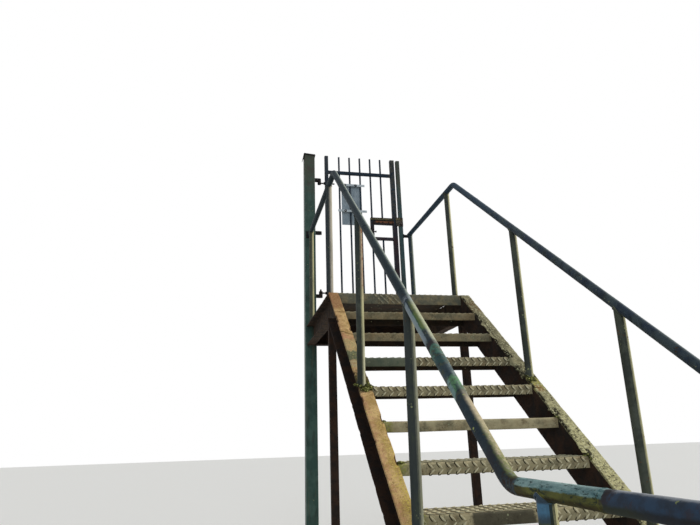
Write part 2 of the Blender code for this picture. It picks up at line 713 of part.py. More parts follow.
def build_gate_posts(materials, parent):
    hinge_post = box_post("hinge_post", HINGE_POST_X, HINGE_POST_Y, HINGE_POST_WIDTH,
                          0, LANDING_HEIGHT + HINGE_POST_HEIGHT)
    add_piece("hinge_post", hinge_post, materials["post"], parent)
    add_piece("hinge_post_cap", post_cap("cap"), materials["post"], parent)
    latch_post = box_post("latch_post", LATCH_POST_X, LATCH_POST_Y, LATCH_POST_WIDTH,
                          0, LANDING_HEIGHT + LATCH_POST_HEIGHT)
    add_piece("latch_post", latch_post, materials["post"], parent)
    add_piece("keeper", keeper("keeper"), materials["rust"], parent)
    add_piece("rail_end_plate", rail_end_plate("rail_end_plate"), materials["post"], parent)
    add_piece("rail_stub", rail_stub("rail_stub"), materials["post"], parent)
    eye_top = LANDING_HEIGHT + TOP_EYE_HEIGHT + HINGE_EYE_HEIGHT / 2
    upper_low = eye_top + HINGE_FLOAT
    hinge_hook("top_hinge_hook", upper_low, eye_top - HINGE_EYE_HEIGHT - HINGE_FLOAT,
               upper_low + HINGE_HOOK_HEIGHT / 2, materials["post"], parent)
    eye_foot = LANDING_HEIGHT + BOTTOM_EYE_HEIGHT - HINGE_EYE_HEIGHT / 2
    lower_low = eye_foot - HINGE_FLOAT - HINGE_HOOK_HEIGHT
    hinge_hook("bottom_hinge_hook", lower_low, lower_low + HINGE_HOOK_HEIGHT / 2,
               eye_foot + HINGE_EYE_HEIGHT + PIN_PROUD, materials["post"], parent)
    hinge_hook("spare_hinge_hook", LANDING_HEIGHT + SPARE_HOOK_HEIGHT - HINGE_HOOK_HEIGHT / 2,
               None, None, materials["post"], parent)


def build_leaf(materials, parent):
    eye_holes = [(TOP_EYE_HEIGHT, ROD_RADIUS), (BOTTOM_EYE_HEIGHT, ROD_RADIUS)]
    stile("hinge_stile", LEAF_LEFT, eye_holes, materials["leaf"], parent)
    bolt_hole = [(lock_case_middle(), LOCK_BOLT_RADIUS)]
    stile("lock_stile", LEAF_RIGHT - STILE_WIDTH, bolt_hole, materials["leaf"], parent)
    leaf_bars("leaf_bars", materials["leaf"], parent)
    hinge_eye("top_hinge_eye", TOP_EYE_HEIGHT, materials["leaf"], parent)
    hinge_eye("bottom_hinge_eye", BOTTOM_EYE_HEIGHT, materials["leaf"], parent)
    add_piece("lock_frame", lock_frame("lock_frame"), materials["rust"], parent)
    lock_case("lock_case", materials["rust"], parent)
    add_piece("latch_knob", latch_knob("latch_knob"), materials["rust"], parent)
    back_plate("back_plate", materials["plate"], parent)
    plate_clamp("upper_plate_clamp", UPPER_CLAMP, materials["plate"], parent)
    plate_clamp("lower_plate_clamp", LOWER_CLAMP, materials["plate"], parent)


def centre_on_footprint(holder):
    """Moves everything so that the middle of the footprint lies on the origin."""
    bpy.context.view_layer.update()
    graph = bpy.context.evaluated_depsgraph_get()
    corners = []
    for obj in bpy.data.objects:
        if obj.type == "MESH" and not obj.hide_render:
            shaped = obj.evaluated_get(graph)
            corners += [shaped.matrix_world @ Vector(corner) for corner in shaped.bound_box]
    middle_x = (min(c.x for c in corners) + max(c.x for c in corners)) / 2
    middle_y = (min(c.y for c in corners) + max(c.y for c in corners)) / 2
    holder.location = (-middle_x, -middle_y, 0)
    bpy.context.view_layer.update()


def main():
    clear_scene()
    materials = {
        "channel": finish("weathered_channel", (0.25, 0.20, 0.12), 0.85, 0.0),
        "tread": finish("weathered_plate", (0.22, 0.20, 0.14), 0.85, 0.0),
        "rail": finish("rail_paint", (0.20, 0.27, 0.24), 0.55, 0.0),
        "rail_post": finish("rail_post_paint", (0.14, 0.16, 0.13), 0.6, 0.0),
        "post": finish("post_paint", (0.07, 0.10, 0.07), 0.6, 0.0),
        "leaf": finish("leaf_paint", (0.08, 0.11, 0.10), 0.6, 0.0),
        "rust": finish("rusted_lock", (0.12, 0.05, 0.035), 0.8, 0.0),
        "plate": finish("bare_plate", (0.36, 0.38, 0.37), 0.5, 0.3),
    }
    whole = empty("whole", (0, 0, 0))
    hinge_axis = empty("hinge_axis", (HINGE_X, LEAF_Y, LANDING_HEIGHT), whole)
    fixed = empty("fixed_work", (0, 0, 0), whole)
    build_steps(materials, fixed)
    build_gate_posts(materials, fixed)
    build_leaf(materials, hinge_axis)
    centre_on_footprint(whole)
    print("hinge axis at", tuple(round(c, 5) for c in hinge_axis.matrix_world.translation))
    print("landing front edge at", tuple(round(c, 5) for c in whole.matrix_world.translation))


main()
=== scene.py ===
import math
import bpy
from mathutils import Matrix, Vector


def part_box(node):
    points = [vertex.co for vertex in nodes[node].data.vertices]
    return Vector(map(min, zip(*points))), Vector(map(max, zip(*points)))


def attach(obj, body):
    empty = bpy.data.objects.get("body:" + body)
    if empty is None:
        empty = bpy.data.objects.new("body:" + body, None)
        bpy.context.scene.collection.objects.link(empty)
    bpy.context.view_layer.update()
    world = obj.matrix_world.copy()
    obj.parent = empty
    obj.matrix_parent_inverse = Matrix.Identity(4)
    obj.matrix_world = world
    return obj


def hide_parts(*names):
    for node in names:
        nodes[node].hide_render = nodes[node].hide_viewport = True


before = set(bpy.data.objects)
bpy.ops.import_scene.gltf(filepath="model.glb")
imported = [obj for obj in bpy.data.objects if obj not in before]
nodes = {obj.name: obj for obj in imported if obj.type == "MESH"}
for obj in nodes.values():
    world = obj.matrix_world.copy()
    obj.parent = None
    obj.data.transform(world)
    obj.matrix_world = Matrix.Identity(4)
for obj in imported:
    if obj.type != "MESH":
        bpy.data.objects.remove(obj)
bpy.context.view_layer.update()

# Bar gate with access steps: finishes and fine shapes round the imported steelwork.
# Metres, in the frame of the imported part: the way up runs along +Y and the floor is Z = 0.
from fnmatch import fnmatch

import bpy
import numpy as np
from mathutils import Matrix, Vector

landingEdge = np.array((0.00775, 1.06227, 0.0))  # the landing's front edge, at the middle and on the floor
print("frame loaded:", len(nodes), "nodes")


# Shader maths

# A colour given as #rrggbb, turned into linear light
def tint(code):
    parts = [int(code[i:i + 2], 16) / 255 for i in (1, 3, 5)]
    return tuple(p / 12.92 if p <= 0.04045 else ((p + 0.055) / 1.055) ** 2.4 for p in parts) + (1.0,)


# A socket with arithmetic: each operator adds one Math node
class Socket:
    def __init__(self, finish, socket):
        self.finish = finish
        self.socket = socket

    def maths(self, operation, first, second):
        return self.finish.node("Math", {"operation": operation}, {0: first, 1: second})

    def __add__(self, other):
        return self.maths("ADD", self, other)

    def __sub__(self, other):
        return self.maths("SUBTRACT", self, other)

    def __rsub__(self, other):
        return self.maths("SUBTRACT", other, self)

    def __mul__(self, other):
        return self.maths("MULTIPLY", self, other)

    def dot(self, direction):
        return self.finish.node("VectorMath", {"operation": "DOT_PRODUCT"}, {0: self, 1: direction}, "Value")

    __radd__ = __add__


# One material, the few nodes that every finish here is made of, and its layers so far.
# A layer is a colour, a roughness and a height.
class Finish:
    def __init__(self, name, specular):
        self.material = bpy.data.materials.new(name)
        self.material.use_nodes = True
        self.tree = self.material.node_tree
        self.shader = self.tree.nodes["Principled BSDF"]
        self.shader.inputs["Specular IOR Level"].default_value = specular
        self.place = self.node("TexCoord", out="Object")
        self.x, self.y, self.z = (self.node("SeparateXYZ", None, {0: self.place}, i) for i in range(3))
        self.layer = None

    # Any node: its type, its settings, and the values or links of its inputs
    def node(self, kind, settings=None, links=None, out=0):
        made = self.tree.nodes.new("ShaderNode" + kind)
        for key, value in (settings or {}).items():
            setattr(made, key, value)
        for key, value in (links or {}).items():
            self.feed(made.inputs[key], value)
        return Socket(self, made.outputs[out])

    # Links an input, or sets its own value
    def feed(self, entry, value):
        if isinstance(value, Socket):
            self.tree.links.new(value.socket, entry)
        else:
            entry.default_value = value

    # A value that a piece carries on its own points
    def mark(self, name):
        return self.node("Attribute", {"attribute_name": name}, out="Fac")

    # Cloudy noise round 0.5
    def noise(self, scale, detail=4.0, rough=0.55, twist=0.0, where=None):
        return self.node("TexNoise", None, {"Vector": where or self.place, "Scale": scale, "Detail": detail,
                                            "Roughness": rough, "Distortion": twist})

    # The same noise round 0, of a given size
    def wander(self, size, *look, **more):
        return (self.noise(*look, **more) - 0.5) * size

    # Specks: 1 where the noise is past the higher limit, 0 under the lower one
    def specks(self, low, high, *look, **more):
        return self.band(self.noise(*look, **more), low, high)

    # Two colours in clouds
    def tones(self, first, second, *look, **more):
        return self.mix(self.noise(*look, **more), first, second)

    # The distance to the nearest of scattered points
    def cells(self, scale):
        return self.node("TexVoronoi", None, {"Vector": self.place, "Scale": scale})

    # The object's coordinates, stretched by three factors
    def stretched(self, x, y, z):
        return self.node("VectorMath", {"operation": "MULTIPLY"}, {0: self.place, 1: (x, y, z)})

    # Rises smoothly from 0 at low to 1 at high
    def band(self, value, low, high):
        return self.node("MapRange", {"interpolation_type": "SMOOTHSTEP"},
                         {"Value": value, "From Min": low, "From Max": high})

    # Falls smoothly from 1 at low to 0 at high
    def below(self, value, low, high):
        return 1 - self.band(value, low, high)

    # 1 between two values, with soft sides
    def between(self, value, low, high, soft):
        return self.band(value, low - soft, low + soft) * self.below(value, high - soft, high + soft)

    # One colour over another, by a mask
    def mix(self, mask, under, top):
        under, top = (tint(colour) if isinstance(colour, str) else colour for colour in (under, top))
        return self.node("Mix", {"data_type": "RGBA"}, {0: mask, 6: under, 7: top}, 2)

    # One layer over another, by a mask
    def over(self, mask, under, top):
        rough, height = ((1 - mask) * under[i] + mask * top[i] for i in (1, 2))
        return self.mix(mask, under[0], top[0]), rough, height

    # One more layer on top of those so far
    def lay(self, mask, colour, rough, height):
        self.layer = self.over(mask, self.layer, (colour, rough, height))

    # Puts the finished layer on the shader; depth is how high its height of 1 stands, in metres
    def done(self, depth):
        colour, rough, height = self.layer
        self.feed(self.shader.inputs["Base Color"], colour)
        self.feed(self.shader.inputs["Roughness"], rough)
        if depth:
            bump = self.node("Bump", None, {"Height": height, "Distance": depth, "Strength": 1.0})
            self.feed(self.shader.inputs["Normal"], bump)
        return self.material


# Rises on the side that faces the key lamp, with a broken edge: the mask for painted light and painted shade
# by side
def paintedLightSide(f, low, high, broken=0.4):
    side = f.node("TexCoord", out="Normal").dot((0.93, -0.03, 0.30))
    return f.band(side + f.wander(broken, 60, 5, 0.7), low, high)


# Brushed paint: two tones in clouds, grime in streaks that run down, a fine grain, and a paler tone on the
# side that faces the key lamp, which is painted light with some sun bleaching
def paintLayer(f, look):
    scale = look["scale"]
    cloud = f.noise(scale, 5, 0.6)
    streaks = f.noise(scale * 3.2, 5, 0.6, where=f.stretched(1, 1, 0.22))
    fine = f.noise(scale * 10, 5, 0.68)
    colour = f.mix(f.band(cloud, 0.42, 0.58), look["paint"], look["faded"])
    colour = f.mix(f.band(streaks, 0.48, 0.68) * 0.6, colour, look["grime"])
    colour = f.mix(f.band(fine, 0.56, 0.78) * 0.45, colour, look["faded"])
    # Paler on the side facing the key lamp: painted light, with some sun bleaching
    paintedLit = paintedLightSide(f, *look.get("paintedLightBand", (0.20, 0.70)))
    colour = f.mix(paintedLit * look.get("paintedLightShare", 0.3), colour, look["bleachAndPaintedLight"])
    height = cloud * 0.25 + fine * 0.35 + f.noise(330, 2, 0.5) * 0.12 + 0.45
    return colour, 0.36 + fine * 0.16 + streaks * 0.14, height


# Rust: two tones and dark scabs, pitted by cells
def rustLayer(f, look):
    scale = look["scale"]
    cloud = f.noise(scale * 1.6, 6, 0.62, 0.3)
    scab = f.noise(scale * 7, 6, 0.7, 0.6)
    grain = f.noise(380, 4, 0.65)
    colour = f.mix(f.band(cloud, 0.38, 0.62), look["steel"], look["rust"])
    colour = f.mix(f.band(scab, 0.50, 0.66) * look.get("scabbed", 0.6), colour, look["rustDark"])
    colour = f.mix(f.band(grain, 0.50, 0.80) * 0.35, colour, look["rustDark"])
    pits = f.band(f.cells(150), 0.0, 0.40)
    return colour, 0.80 + grain * 0.15, cloud * 0.35 + scab * 0.5 + grain * 0.25 + pits * 0.25 - 0.25


# Where paint has flaked off: broad clouds and fine ones together past a sharp limit
def flaked(f, look, share):
    broken = f.noise(look["scale"] * 2.2, 3, 0.5) * 0.45 + f.noise(look["scale"] * 8, 6, 0.72, 0.4) * 0.55
    limit = 0.66 - share * 0.30
    return f.band(broken, limit, limit + 0.025)


# Crusts of lichen: crumbs inside round cells, inside patches
def lichenMask(f, look):
    share, size = look["lichened"], 75
    patch = f.specks(0.64 - 0.32 * share, 0.72 - 0.26 * share, look["scale"] * 1.9, 4, 0.65, 0.5)
    spots = f.below(f.cells(size), 0.10, 0.50)
    return patch * f.band(spots * 0.55 + f.noise(size * 3, 4, 0.7) * 0.65, 0.46, 0.72)


def lichenLayer(f, look):
    crumbs = f.noise(420, 3, 0.7)
    return f.mix(crumbs, look["lichen"], look.get("lichenPale", look["lichen"])), 0.92, crumbs * 0.7 + 0.6


# Old paint that has flaked to rust, with lichen; zones may change it from place to place
def oldPaint(name, look, zones=None):
    f = Finish(name, look.get("specular", 0.18))
    f.layer = paintLayer(f, look)
    f.lay(flaked(f, look, look["rusted"]), *rustLayer(f, look))
    if zones:
        zones(f, look)
    if look["lichened"] > 0:
        f.lay(lichenMask(f, look), *lichenLayer(f, look))
    return f.done(0.0011)


# Bare rusted steel with lichen, which keeps off its sheltered sides
def rustedSteel(name, look, zones=None, shelter=None):
    f = Finish(name, 0.08)
    f.layer = rustLayer(f, look)
    if zones:
        zones(f, look)
    if look["lichened"] > 0:
        mask = lichenMask(f, look)
        if shelter:
            mask = mask * (1 - shelter(f))
        f.lay(mask, *lichenLayer(f, look))
    return f.done(look.get("relief", 0.0018))


# Finishes

# In each paint look, the pale side tone, its share and its band give painted light on the side that faces the
# key lamp, with some sun bleaching; on the rail posts and rails it is mostly painted light
postLook = {"scale": 8, "paint": "#2a433c", "faded": "#385048", "bleachAndPaintedLight": "#465b50", "grime": "#1f2722",
            "steel": "#43301f", "rust": "#5f3d24", "rustDark": "#291d17", "rusted": 0.10,
            "lichen": "#6f7658", "lichenPale": "#868b6c", "lichened": 0.08}
latchLook = dict(postLook, paint="#263d42", faded="#324849", rusted=0.24)
leafLook = dict(postLook, scale=12, specular=0.10, paint="#172431", faded="#22303d", bleachAndPaintedLight="#2d3c49",
                grime="#11171d", rusted=0.16, rust="#573a2e", lichened=0.0)
railPostLook = {"scale": 10, "specular": 0.10, "paint": "#353a36", "faded": "#494e46", "bleachAndPaintedLight": "#b4b086",
                "grime": "#232622", "steel": "#4a3828", "rust": "#6b4c33", "rustDark": "#2b221b",
                "rusted": 0.20, "paintedLightShare": 0.85, "paintedLightBand": (-0.08, 0.48), "lichen": "#838a5f",
                "lichenPale": "#9a9e7a", "lichened": 0.20}
leftRailLook = {"scale": 11, "specular": 0.07, "paint": "#25323a", "faded": "#35444b", "bleachAndPaintedLight": "#84918f",
                "grime": "#1d2426", "steel": "#4f4031", "rust": "#675038", "rustDark": "#2d251e",
                "rusted": 0.16, "paintedLightShare": 0.75, "paintedLightBand": (-0.05, 0.50), "lichen": "#8f9a4c",
                "lichenPale": "#b3b983", "lichened": 0.06}
rightRailLook = {"scale": 11, "specular": 0.07, "paint": "#2f3a47", "faded": "#414c50", "bleachAndPaintedLight": "#6f7a78",
                 "grime": "#1f2426", "steel": "#3d342b", "rust": "#524131", "rustDark": "#25201c",
                 "rusted": 0.22, "paintedLightShare": 0.6, "paintedLightBand": (0.0, 0.50), "lichen": "#7f815a",
                 "lichenPale": "#95967a", "lichened": 0.18}
leftChannelLook = {"scale": 9, "steel": "#a48656", "rust": "#cbab78", "rustDark": "#745539", "scabbed": 0.50,
                   "bite": "#4a3020", "lichen": "#b3a54c", "lichenPale": "#cabd70", "lichened": 0.10}
rightChannelLook = {"scale": 10, "steel": "#6b6750", "rust": "#938d6f", "rustDark": "#3a3424",
                    "scabbed": 0.55, "bite": "#2e2921", "lichen": "#aba97f", "lichenPale": "#cfccaa",
                    "lichened": 0.8}
# Nearly black rust: painted shade, for the channels' webs and lower flanges, the insides of the treads' folds
# and the landing's other steel; the landing's beams take it a little browner
shadedLook = {"scale": 10, "steel": "#26211e", "rust": "#37281f", "rustDark": "#1c1817", "lichened": 0.0}
beamLook = dict(shadedLook, steel="#2c251f", rust="#43352a", rustDark="#1c1815")
# Near-black for the gate's small hardware and the rail's end pieces: dark iron with painted shade
ironLook = dict(shadedLook, scale=26, steel="#1c2024", rust="#2b2524", rustDark="#101216")
lockLook = dict(shadedLook, scale=24, steel="#242122", rust="#3a2a26", rustDark="#161314")
crustLook = {"scale": 30, "steel": "#33351d", "rust": "#626431", "rustDark": "#1f1f13", "scabbed": 0.5,
             "lichen": "#989d4a", "lichenPale": "#c8c98c", "lichened": 0.9, "relief": 0.003}
treadLook = {"scale": 12, "steel": "#6b6753", "rust": "#8a7e62", "rustDark": "#453e2f", "scabbed": 0.4,
             "lichen": "#84886a", "lichenPale": "#9b9e80", "lichened": 0.22}
plateLook = {"scale": 14, "paint": "#7f8d96", "faded": "#909ca4", "bleachAndPaintedLight": "#9aa7b0", "grime": "#667279",
             "steel": "#5c5148", "rust": "#7a6553", "rustDark": "#4b4038", "rusted": 0.05, "lichened": 0.0,
             "specular": 0.3}
clampLook = dict(plateLook, paint="#a3adb3", faded="#b9c1c5", bleachAndPaintedLight="#c6cccf", rusted=0.12)


# Stretches of the left rail along y: from, to, softness, strength, colour, roughness
leftRailPatches = [
    (-0.622, -0.600, 0.004, 0.6, "#8b9198", 0.45),  # bare weld over the fourth post
    (-0.800, -0.705, 0.010, 0.80, "#4b6b48", 0.6),
    (-0.850, -0.805, 0.010, 0.60, "#3d3f3c", 0.6),
    (-0.882, -0.858, 0.006, 0.70, "#39302f", 0.75),
    (-0.922, -0.880, 0.006, 0.95, "#4d7163", 0.5),
    (-0.968, -0.924, 0.008, 0.80, "#34504f", 0.5),
    (-1.012, -0.970, 0.008, 0.85, "#38464d", 0.5),
    (-1.072, -1.016, 0.005, 0.95, "#5c8360", 0.5),
    (-1.240, -1.078, 0.012, 0.85, "#333c43", 0.75),
    (-1.320, -1.244, 0.025, 0.80, "#37373a", 0.8),
    (-1.375, -1.325, 0.012, 0.90, "#3d322b", 0.85),
]


# Sloping stretch of the left rail: above the fourth post, painted shade on the side away from the key lamp
# and painted light on the side facing it; a bare weld over the fourth post and moss below it, green and mint
# patches, pale blue-grey streaks on the side away from the key lamp, painted light in pale and beige tones
# on the side facing it, moss at the bend
def leftSlopeZones(f, look, y, right):
    # Painted shade on the side away from the key lamp above the fourth post; the next layer puts painted
    # light on the side facing it
    paintedShade = f.band(y, -0.62, -0.56) * f.below(right, 0.25, 0.75)
    f.lay(paintedShade * 0.85, f.tones("#141f24", "#26343a", 14, 5, 0.65), 0.6, 0.5)
    f.lay(f.band(y, -0.62, -0.56) * f.band(right, 0.25, 0.75) * 0.6,
          f.tones("#7f8b86", "#a9aa96", 30, 5, 0.7), 0.6, 0.5)
    for low, high, soft, strength, colour, rough in leftRailPatches:
        broken = 1 - flaked(f, look, 0.45) * 0.75
        f.lay(f.between(y, low, high, soft) * broken * strength, colour, rough, 0.45)
    # Pale blue-grey on the side away from the key lamp
    f.lay(f.between(y, -1.075, -1.010, 0.008) * f.below(right, -0.75, -0.50) * 0.7, "#7f989b", 0.45, 0.4)
    torn = f.between(y, -1.10, -0.88, 0.01) * f.specks(0.52, 0.58, 34, 6, 0.75, 0.6)
    f.lay(torn * 0.7, f.tones("#2f3b3b", "#5c5c44", 50, 4), 0.6, 0.2)
    grown = f.specks(0.36, 0.60, 60, 6, 0.75)
    moss = (f.tones("#596440", "#838b52", 45, 5, 0.7), 0.9, 0.6)
    mossy = f.between(y, -0.800, -0.645, 0.02) * f.band(right, -0.60, -0.20)
    f.lay(mossy * (grown * 0.5 + 0.4), *moss)
    # Pale blue-grey streaks on the side away from the key lamp, below the fourth post
    bare = f.between(y, -0.845, -0.632, 0.012) * f.below(right, -0.72, -0.55)
    f.lay(bare * 0.75, f.tones("#5f7078", "#a9b7bf", 50, 5, 0.7, where=f.stretched(1, 0.3, 0.3)), 0.35, 0.3)
    # Painted light on the side facing the key lamp: pale over the moss here, beige further down
    f.lay(f.between(y, -0.860, -0.640, 0.03) * f.band(right, -0.10, 0.50) * (grown * 0.3 + 0.60),
          "#b1b399", 0.8, 0.6)
    f.lay(f.between(y, -1.32, -1.09, 0.03) * f.band(right, -0.30, 0.35) * (grown * 0.25 + 0.75),
          f.tones("#a3977d", "#d3c3a4", 90, 4, 0.7), 0.9, 0.6)
    crust = f.between(y, -1.375, -1.14, 0.05) * f.band(right, -0.5, 0.1) * f.specks(0.36, 0.60, 95, 6, 0.8)
    f.lay(crust * f.below(y, -1.30, -1.10) * 0.9, *moss)


# Its level stretch, coloured by how far each face turns up: teal on top, a painted sky reflection; olive at
# the sides; brown beneath, painted shade with dirt; and slate blue past a ragged brown collar, with a painted
# highlight along its top and painted shade beneath
def leftLevelZones(f, y, up):
    height = up + f.wander(0.7, 34, 6, 0.75, where=f.stretched(1, 0.5, 1))
    streak = f.noise(40, 6, 0.75, where=f.stretched(1, 0.25, 1))
    # Teal on the faces that turn up: a painted sky reflection
    teal = (f.mix(f.band(streak, 0.38, 0.62), "#4c7073", "#94b3af"), 0.42, 0.5)
    olive = (f.mix(f.band(streak, 0.38, 0.62), "#4d4f2b", "#676834"), 0.6, 0.5)
    olive = f.over(f.band(y, -1.450, -1.405) * 0.7, olive, ("#443c2c", 0.75, 0.4))
    # Brown on the faces that turn down: painted shade with dirt
    brown = (f.mix(f.band(streak, 0.35, 0.60), "#2b2419", "#403c23"), 0.75, 0.45)
    painted = f.over(f.band(height, -0.70, -0.30), brown, olive)
    painted = f.over(f.band(height, 0.04, 0.26), painted, teal)
    scuffed = f.specks(0.54, 0.60, 75, 5, 0.75, 0.5, where=f.stretched(1, 0.45, 1))
    painted = f.over(scuffed * 0.8, painted, ("#25302e", 0.8, 0.1))
    f.lay(f.between(y, -1.715, -1.385, 0.006), *painted)
    ragged = y + up * 0.012 + f.wander(0.045, 55, 5, 0.8)
    cold = f.over(f.specks(0.40, 0.65, 16, 5, 0.7), ("#33475e", 0.5, 0.5), ("#343c48", 0.65, 0.4))
    cold = f.over(f.specks(0.54, 0.62, 44, 5, 0.75) * 0.4, cold, ("#483a3b", 0.8, 0.3))
    # Darker beneath: painted shade
    cold = f.over(f.below(height, -0.45, 0.0) * 0.8, cold,
                  (f.mix(f.band(y, -1.86, -1.76), "#282523", "#343623"), 0.75, 0.3))
    # Pale strip along the top: a painted highlight
    cold = f.over(f.band(height, 0.70, 0.95) * 0.85, cold, ("#9a9ea3", 0.5, 0.3))
    f.lay(f.below(ragged, -1.723, -1.717) * 0.95, *cold)
    f.lay(f.between(ragged, -1.732, -1.708, 0.004) * f.band(up, -0.5, 0.0) * 0.7, "#413a3c", 0.9, 0.3)


# Both stretches of the left rail; noise tears the limits along y
def leftRailZones(f, look):
    y = f.y + f.wander(0.02, 22, 5, 0.65) + f.wander(0.012, 110, 4, 0.7)
    normal = f.node("TexCoord", out="Normal")
    # How far each face turns to the key lamp, for the painted light and shade of the slope
    leftSlopeZones(f, look, y, normal.dot((0.95, 0.0, 0.30)) + f.wander(0.5, 40, 5, 0.7))
    leftLevelZones(f, y, normal.dot((0.10, 0.0, 0.99)))


# Rail posts differ, and each zone mixes a dark tone with a pale one by the side that faces the key lamp:
# painted shade and painted light. Left, from the gate down: olive on the first, lilac-grey on the second,
# brown above and grey-green below on the third, grey below on the fourth, dark olive and blue at the fifth's
# head on the side away from the key lamp. The first right one is blue-grey.
def railPostZones(f, look):
    left = f.below(f.x, -0.1, 0.1)
    wander = f.wander(0.5, 9, 4, 0.6)
    # Side facing the key lamp: every pale tone below is painted light there
    lit = paintedLightSide(f, 0.0, 0.7, 0.3)
    third = left * f.between(f.y, 0.0, 0.5, 0.05) * f.band(f.z + wander * 0.4, 1.68, 1.84)
    f.lay(third * 0.75, f.mix(lit, "#363d3d", "#a68c7b"), 0.8, 0.5)
    # Rust specks on the third post, only on its painted-light side
    rusty = third * lit * f.specks(0.50, 0.60, 26, 5, 0.75)
    f.lay(rusty * 0.8, "#7d4f38", 0.9, 0.4)
    farRight = (1 - left) * f.band(f.y, 1.9, 2.0)
    f.lay(farRight * 0.75, f.mix(lit, "#2a3a44", "#55676c"), 0.5, 0.5)
    thirdLow = left * f.between(f.y, 0.0, 0.5, 0.05) * f.below(f.z + wander * 0.4, 1.45, 1.62)
    f.lay(thirdLow * 0.7, f.mix(lit, "#30352f", "#b3b39b"), 0.8, 0.5)
    fourth = left * f.between(f.y, -0.8, -0.4, 0.05) * f.below(f.z + wander * 0.2, 1.35, 1.50)
    f.lay(fourth * 0.85, f.mix(lit, "#363c3c", "#74776c"), 0.8, 0.5)
    second = left * f.between(f.y, 1.0, 1.3, 0.05)
    f.lay(second * 0.85, f.mix(paintedLightSide(f, -0.30, 0.10, 0.2), "#343b3e", "#aca599"), 0.8, 0.5)
    first = left * f.band(f.y, 1.9, 2.0)
    f.lay(first * 0.5, f.mix(lit, "#4b4f45", "#a8a37f"), 0.7, 0.5)
    # Mould, paler on the painted-light side
    mould = f.specks(0.50, 0.66, 26, 6, 0.75, where=f.stretched(1, 1, 0.4))
    f.lay(mould * 0.35, f.mix(lit, "#4d5340", "#8b8d66"), 0.85, 0.6)
    fifth = left * f.between(f.y, -1.6, -1.35, 0.02) * f.band(f.z + wander * 0.3, 0.62, 0.72)
    f.lay(fifth * (1 - paintedLightSide(f, 0.10, 0.26, 0.2)) * 0.85, f.mix(lit, "#242a1d", "#454a2b"), 0.8, 0.4)
    level = f.z + f.wander(0.02, 60, 5, 0.7)
    bright = f.band(level, 0.832, 0.850) * f.below(f.z, 0.862, 0.868)
    blue = (f.mix(bright * f.specks(0.20, 0.50, 110, 5, 0.7), "#3a4a57", "#4d7591"), 0.42, 0.5)
    blue = f.over(f.below(level, 0.822, 0.832), blue, (f.tones("#3d4432", "#5a624b", 50, 4), 0.7, 0.4))
    f.lay(fifth * (1 - paintedLightSide(f, -0.50, 0.00, 0.15)) * 0.95, *blue)


# The lock stile rusts from the lock down, the hinge stile a little at its ends
def leafZones(f, look):
    wander = f.wander(0.5, 16, 4, 0.6)
    lock = f.band(f.x, 0.34, 0.345) * f.below(f.z + wander * 0.6, 2.85, 3.10)
    f.lay(lock * 0.6, *rustLayer(f, dict(look, steel="#352a2c", rust="#4a3432", rustDark="#211b1f")))
    worn = f.band(f.x, 0.32, 0.325) * f.band(f.z + wander * 0.4, 2.95, 3.10)
    f.lay(worn * f.specks(0.40, 0.56, 30, 5, 0.7) * 0.6, "#555249", 0.8, 0.4)
    f.lay(f.below(f.x, -0.29, -0.28) * f.band(wander + f.z * 0.2, 0.55, 0.75) * 0.3, "#4c4a47", 0.7, 0.4)


# Lock: slate paint left on the frame, olive crust on its top bar with a dark gap below, orange-brown case,
# purple-brown foot, pale speckles on the keeper
def lockZones(f, look):
    slate = f.specks(0.42, 0.58, 46, 5, 0.7)
    f.lay(slate * 0.75, "#232d37", 0.6, 0.6)
    olive = f.between(f.z, 3.016, 3.034, 0.002) * f.specks(0.40, 0.54, 120, 5, 0.75)
    f.lay(olive * 0.85, f.tones("#4b4a2c", "#7a7250", 200, 3), 0.9, 0.7)
    front = f.below(f.x, 0.345, 0.355)
    f.lay(f.between(f.z, 3.006, 3.014, 0.001) * front * 0.9, "#0e0d0d", 0.9, -0.5)
    case = f.between(f.z, 2.984, 3.004, 0.003) * front * f.band(f.x, 0.16, 0.18)
    f.lay(case * 0.85, f.tones("#54362a", "#8a5a3a", 90, 5, 0.7), 0.88, 0.6)
    foot = f.below(f.z, 2.850, 2.856) * f.specks(0.42, 0.60, 40, 4)
    f.lay(foot * 0.8, "#423941", 0.7, 0.5)
    speckled = (1 - front) * f.specks(0.48, 0.62, 150, 5, 0.8)
    f.lay(speckled * 0.85, f.tones("#5f5545", "#a2967e", 220, 3), 0.9, 0.8)


# The hinge post is browner with purplish patches towards its top
def postZones(f, look):
    high = f.band(f.z + f.wander(0.7, 14, 5, 0.7), 3.10, 3.55)
    stain = (f.mix(f.specks(0.45, 0.6, 30, 5, 0.7), "#45473a", "#4b3d38"), 0.75, 0.5)
    f.lay(high * 0.65, *stain)
    runs = f.specks(0.56, 0.66, 20, 5, 0.7, where=f.stretched(1, 1, 0.12))
    f.lay(runs * 0.5, "#4c4e40", 0.8, 0.5)


# The right rail is bluer at its upper end, partly a painted sky reflection
def rightRailZones(f, look):
    upper = f.band(f.y + f.wander(0.4, 9, 4, 0.6), 0.15, 0.70)
    f.lay(upper * 0.75, f.tones("#1e3142", "#2f4759", 14, 5, 0.65), 0.5, 0.5)


# 1 on the web and the lower flange, 0 on top
def underFlange(f):
    return f.band(f.mark("down") + f.wander(0.006, 30, 4, 0.6), 0.005, 0.014)


# Top flange in its own rust; the web and the lower flange nearly black, which is painted shade
def channelZones(f, look):
    f.lay(f.mark("bitten"), look["bite"], 0.9, 0.2)
    f.lay(underFlange(f), *rustLayer(f, shadedLook))


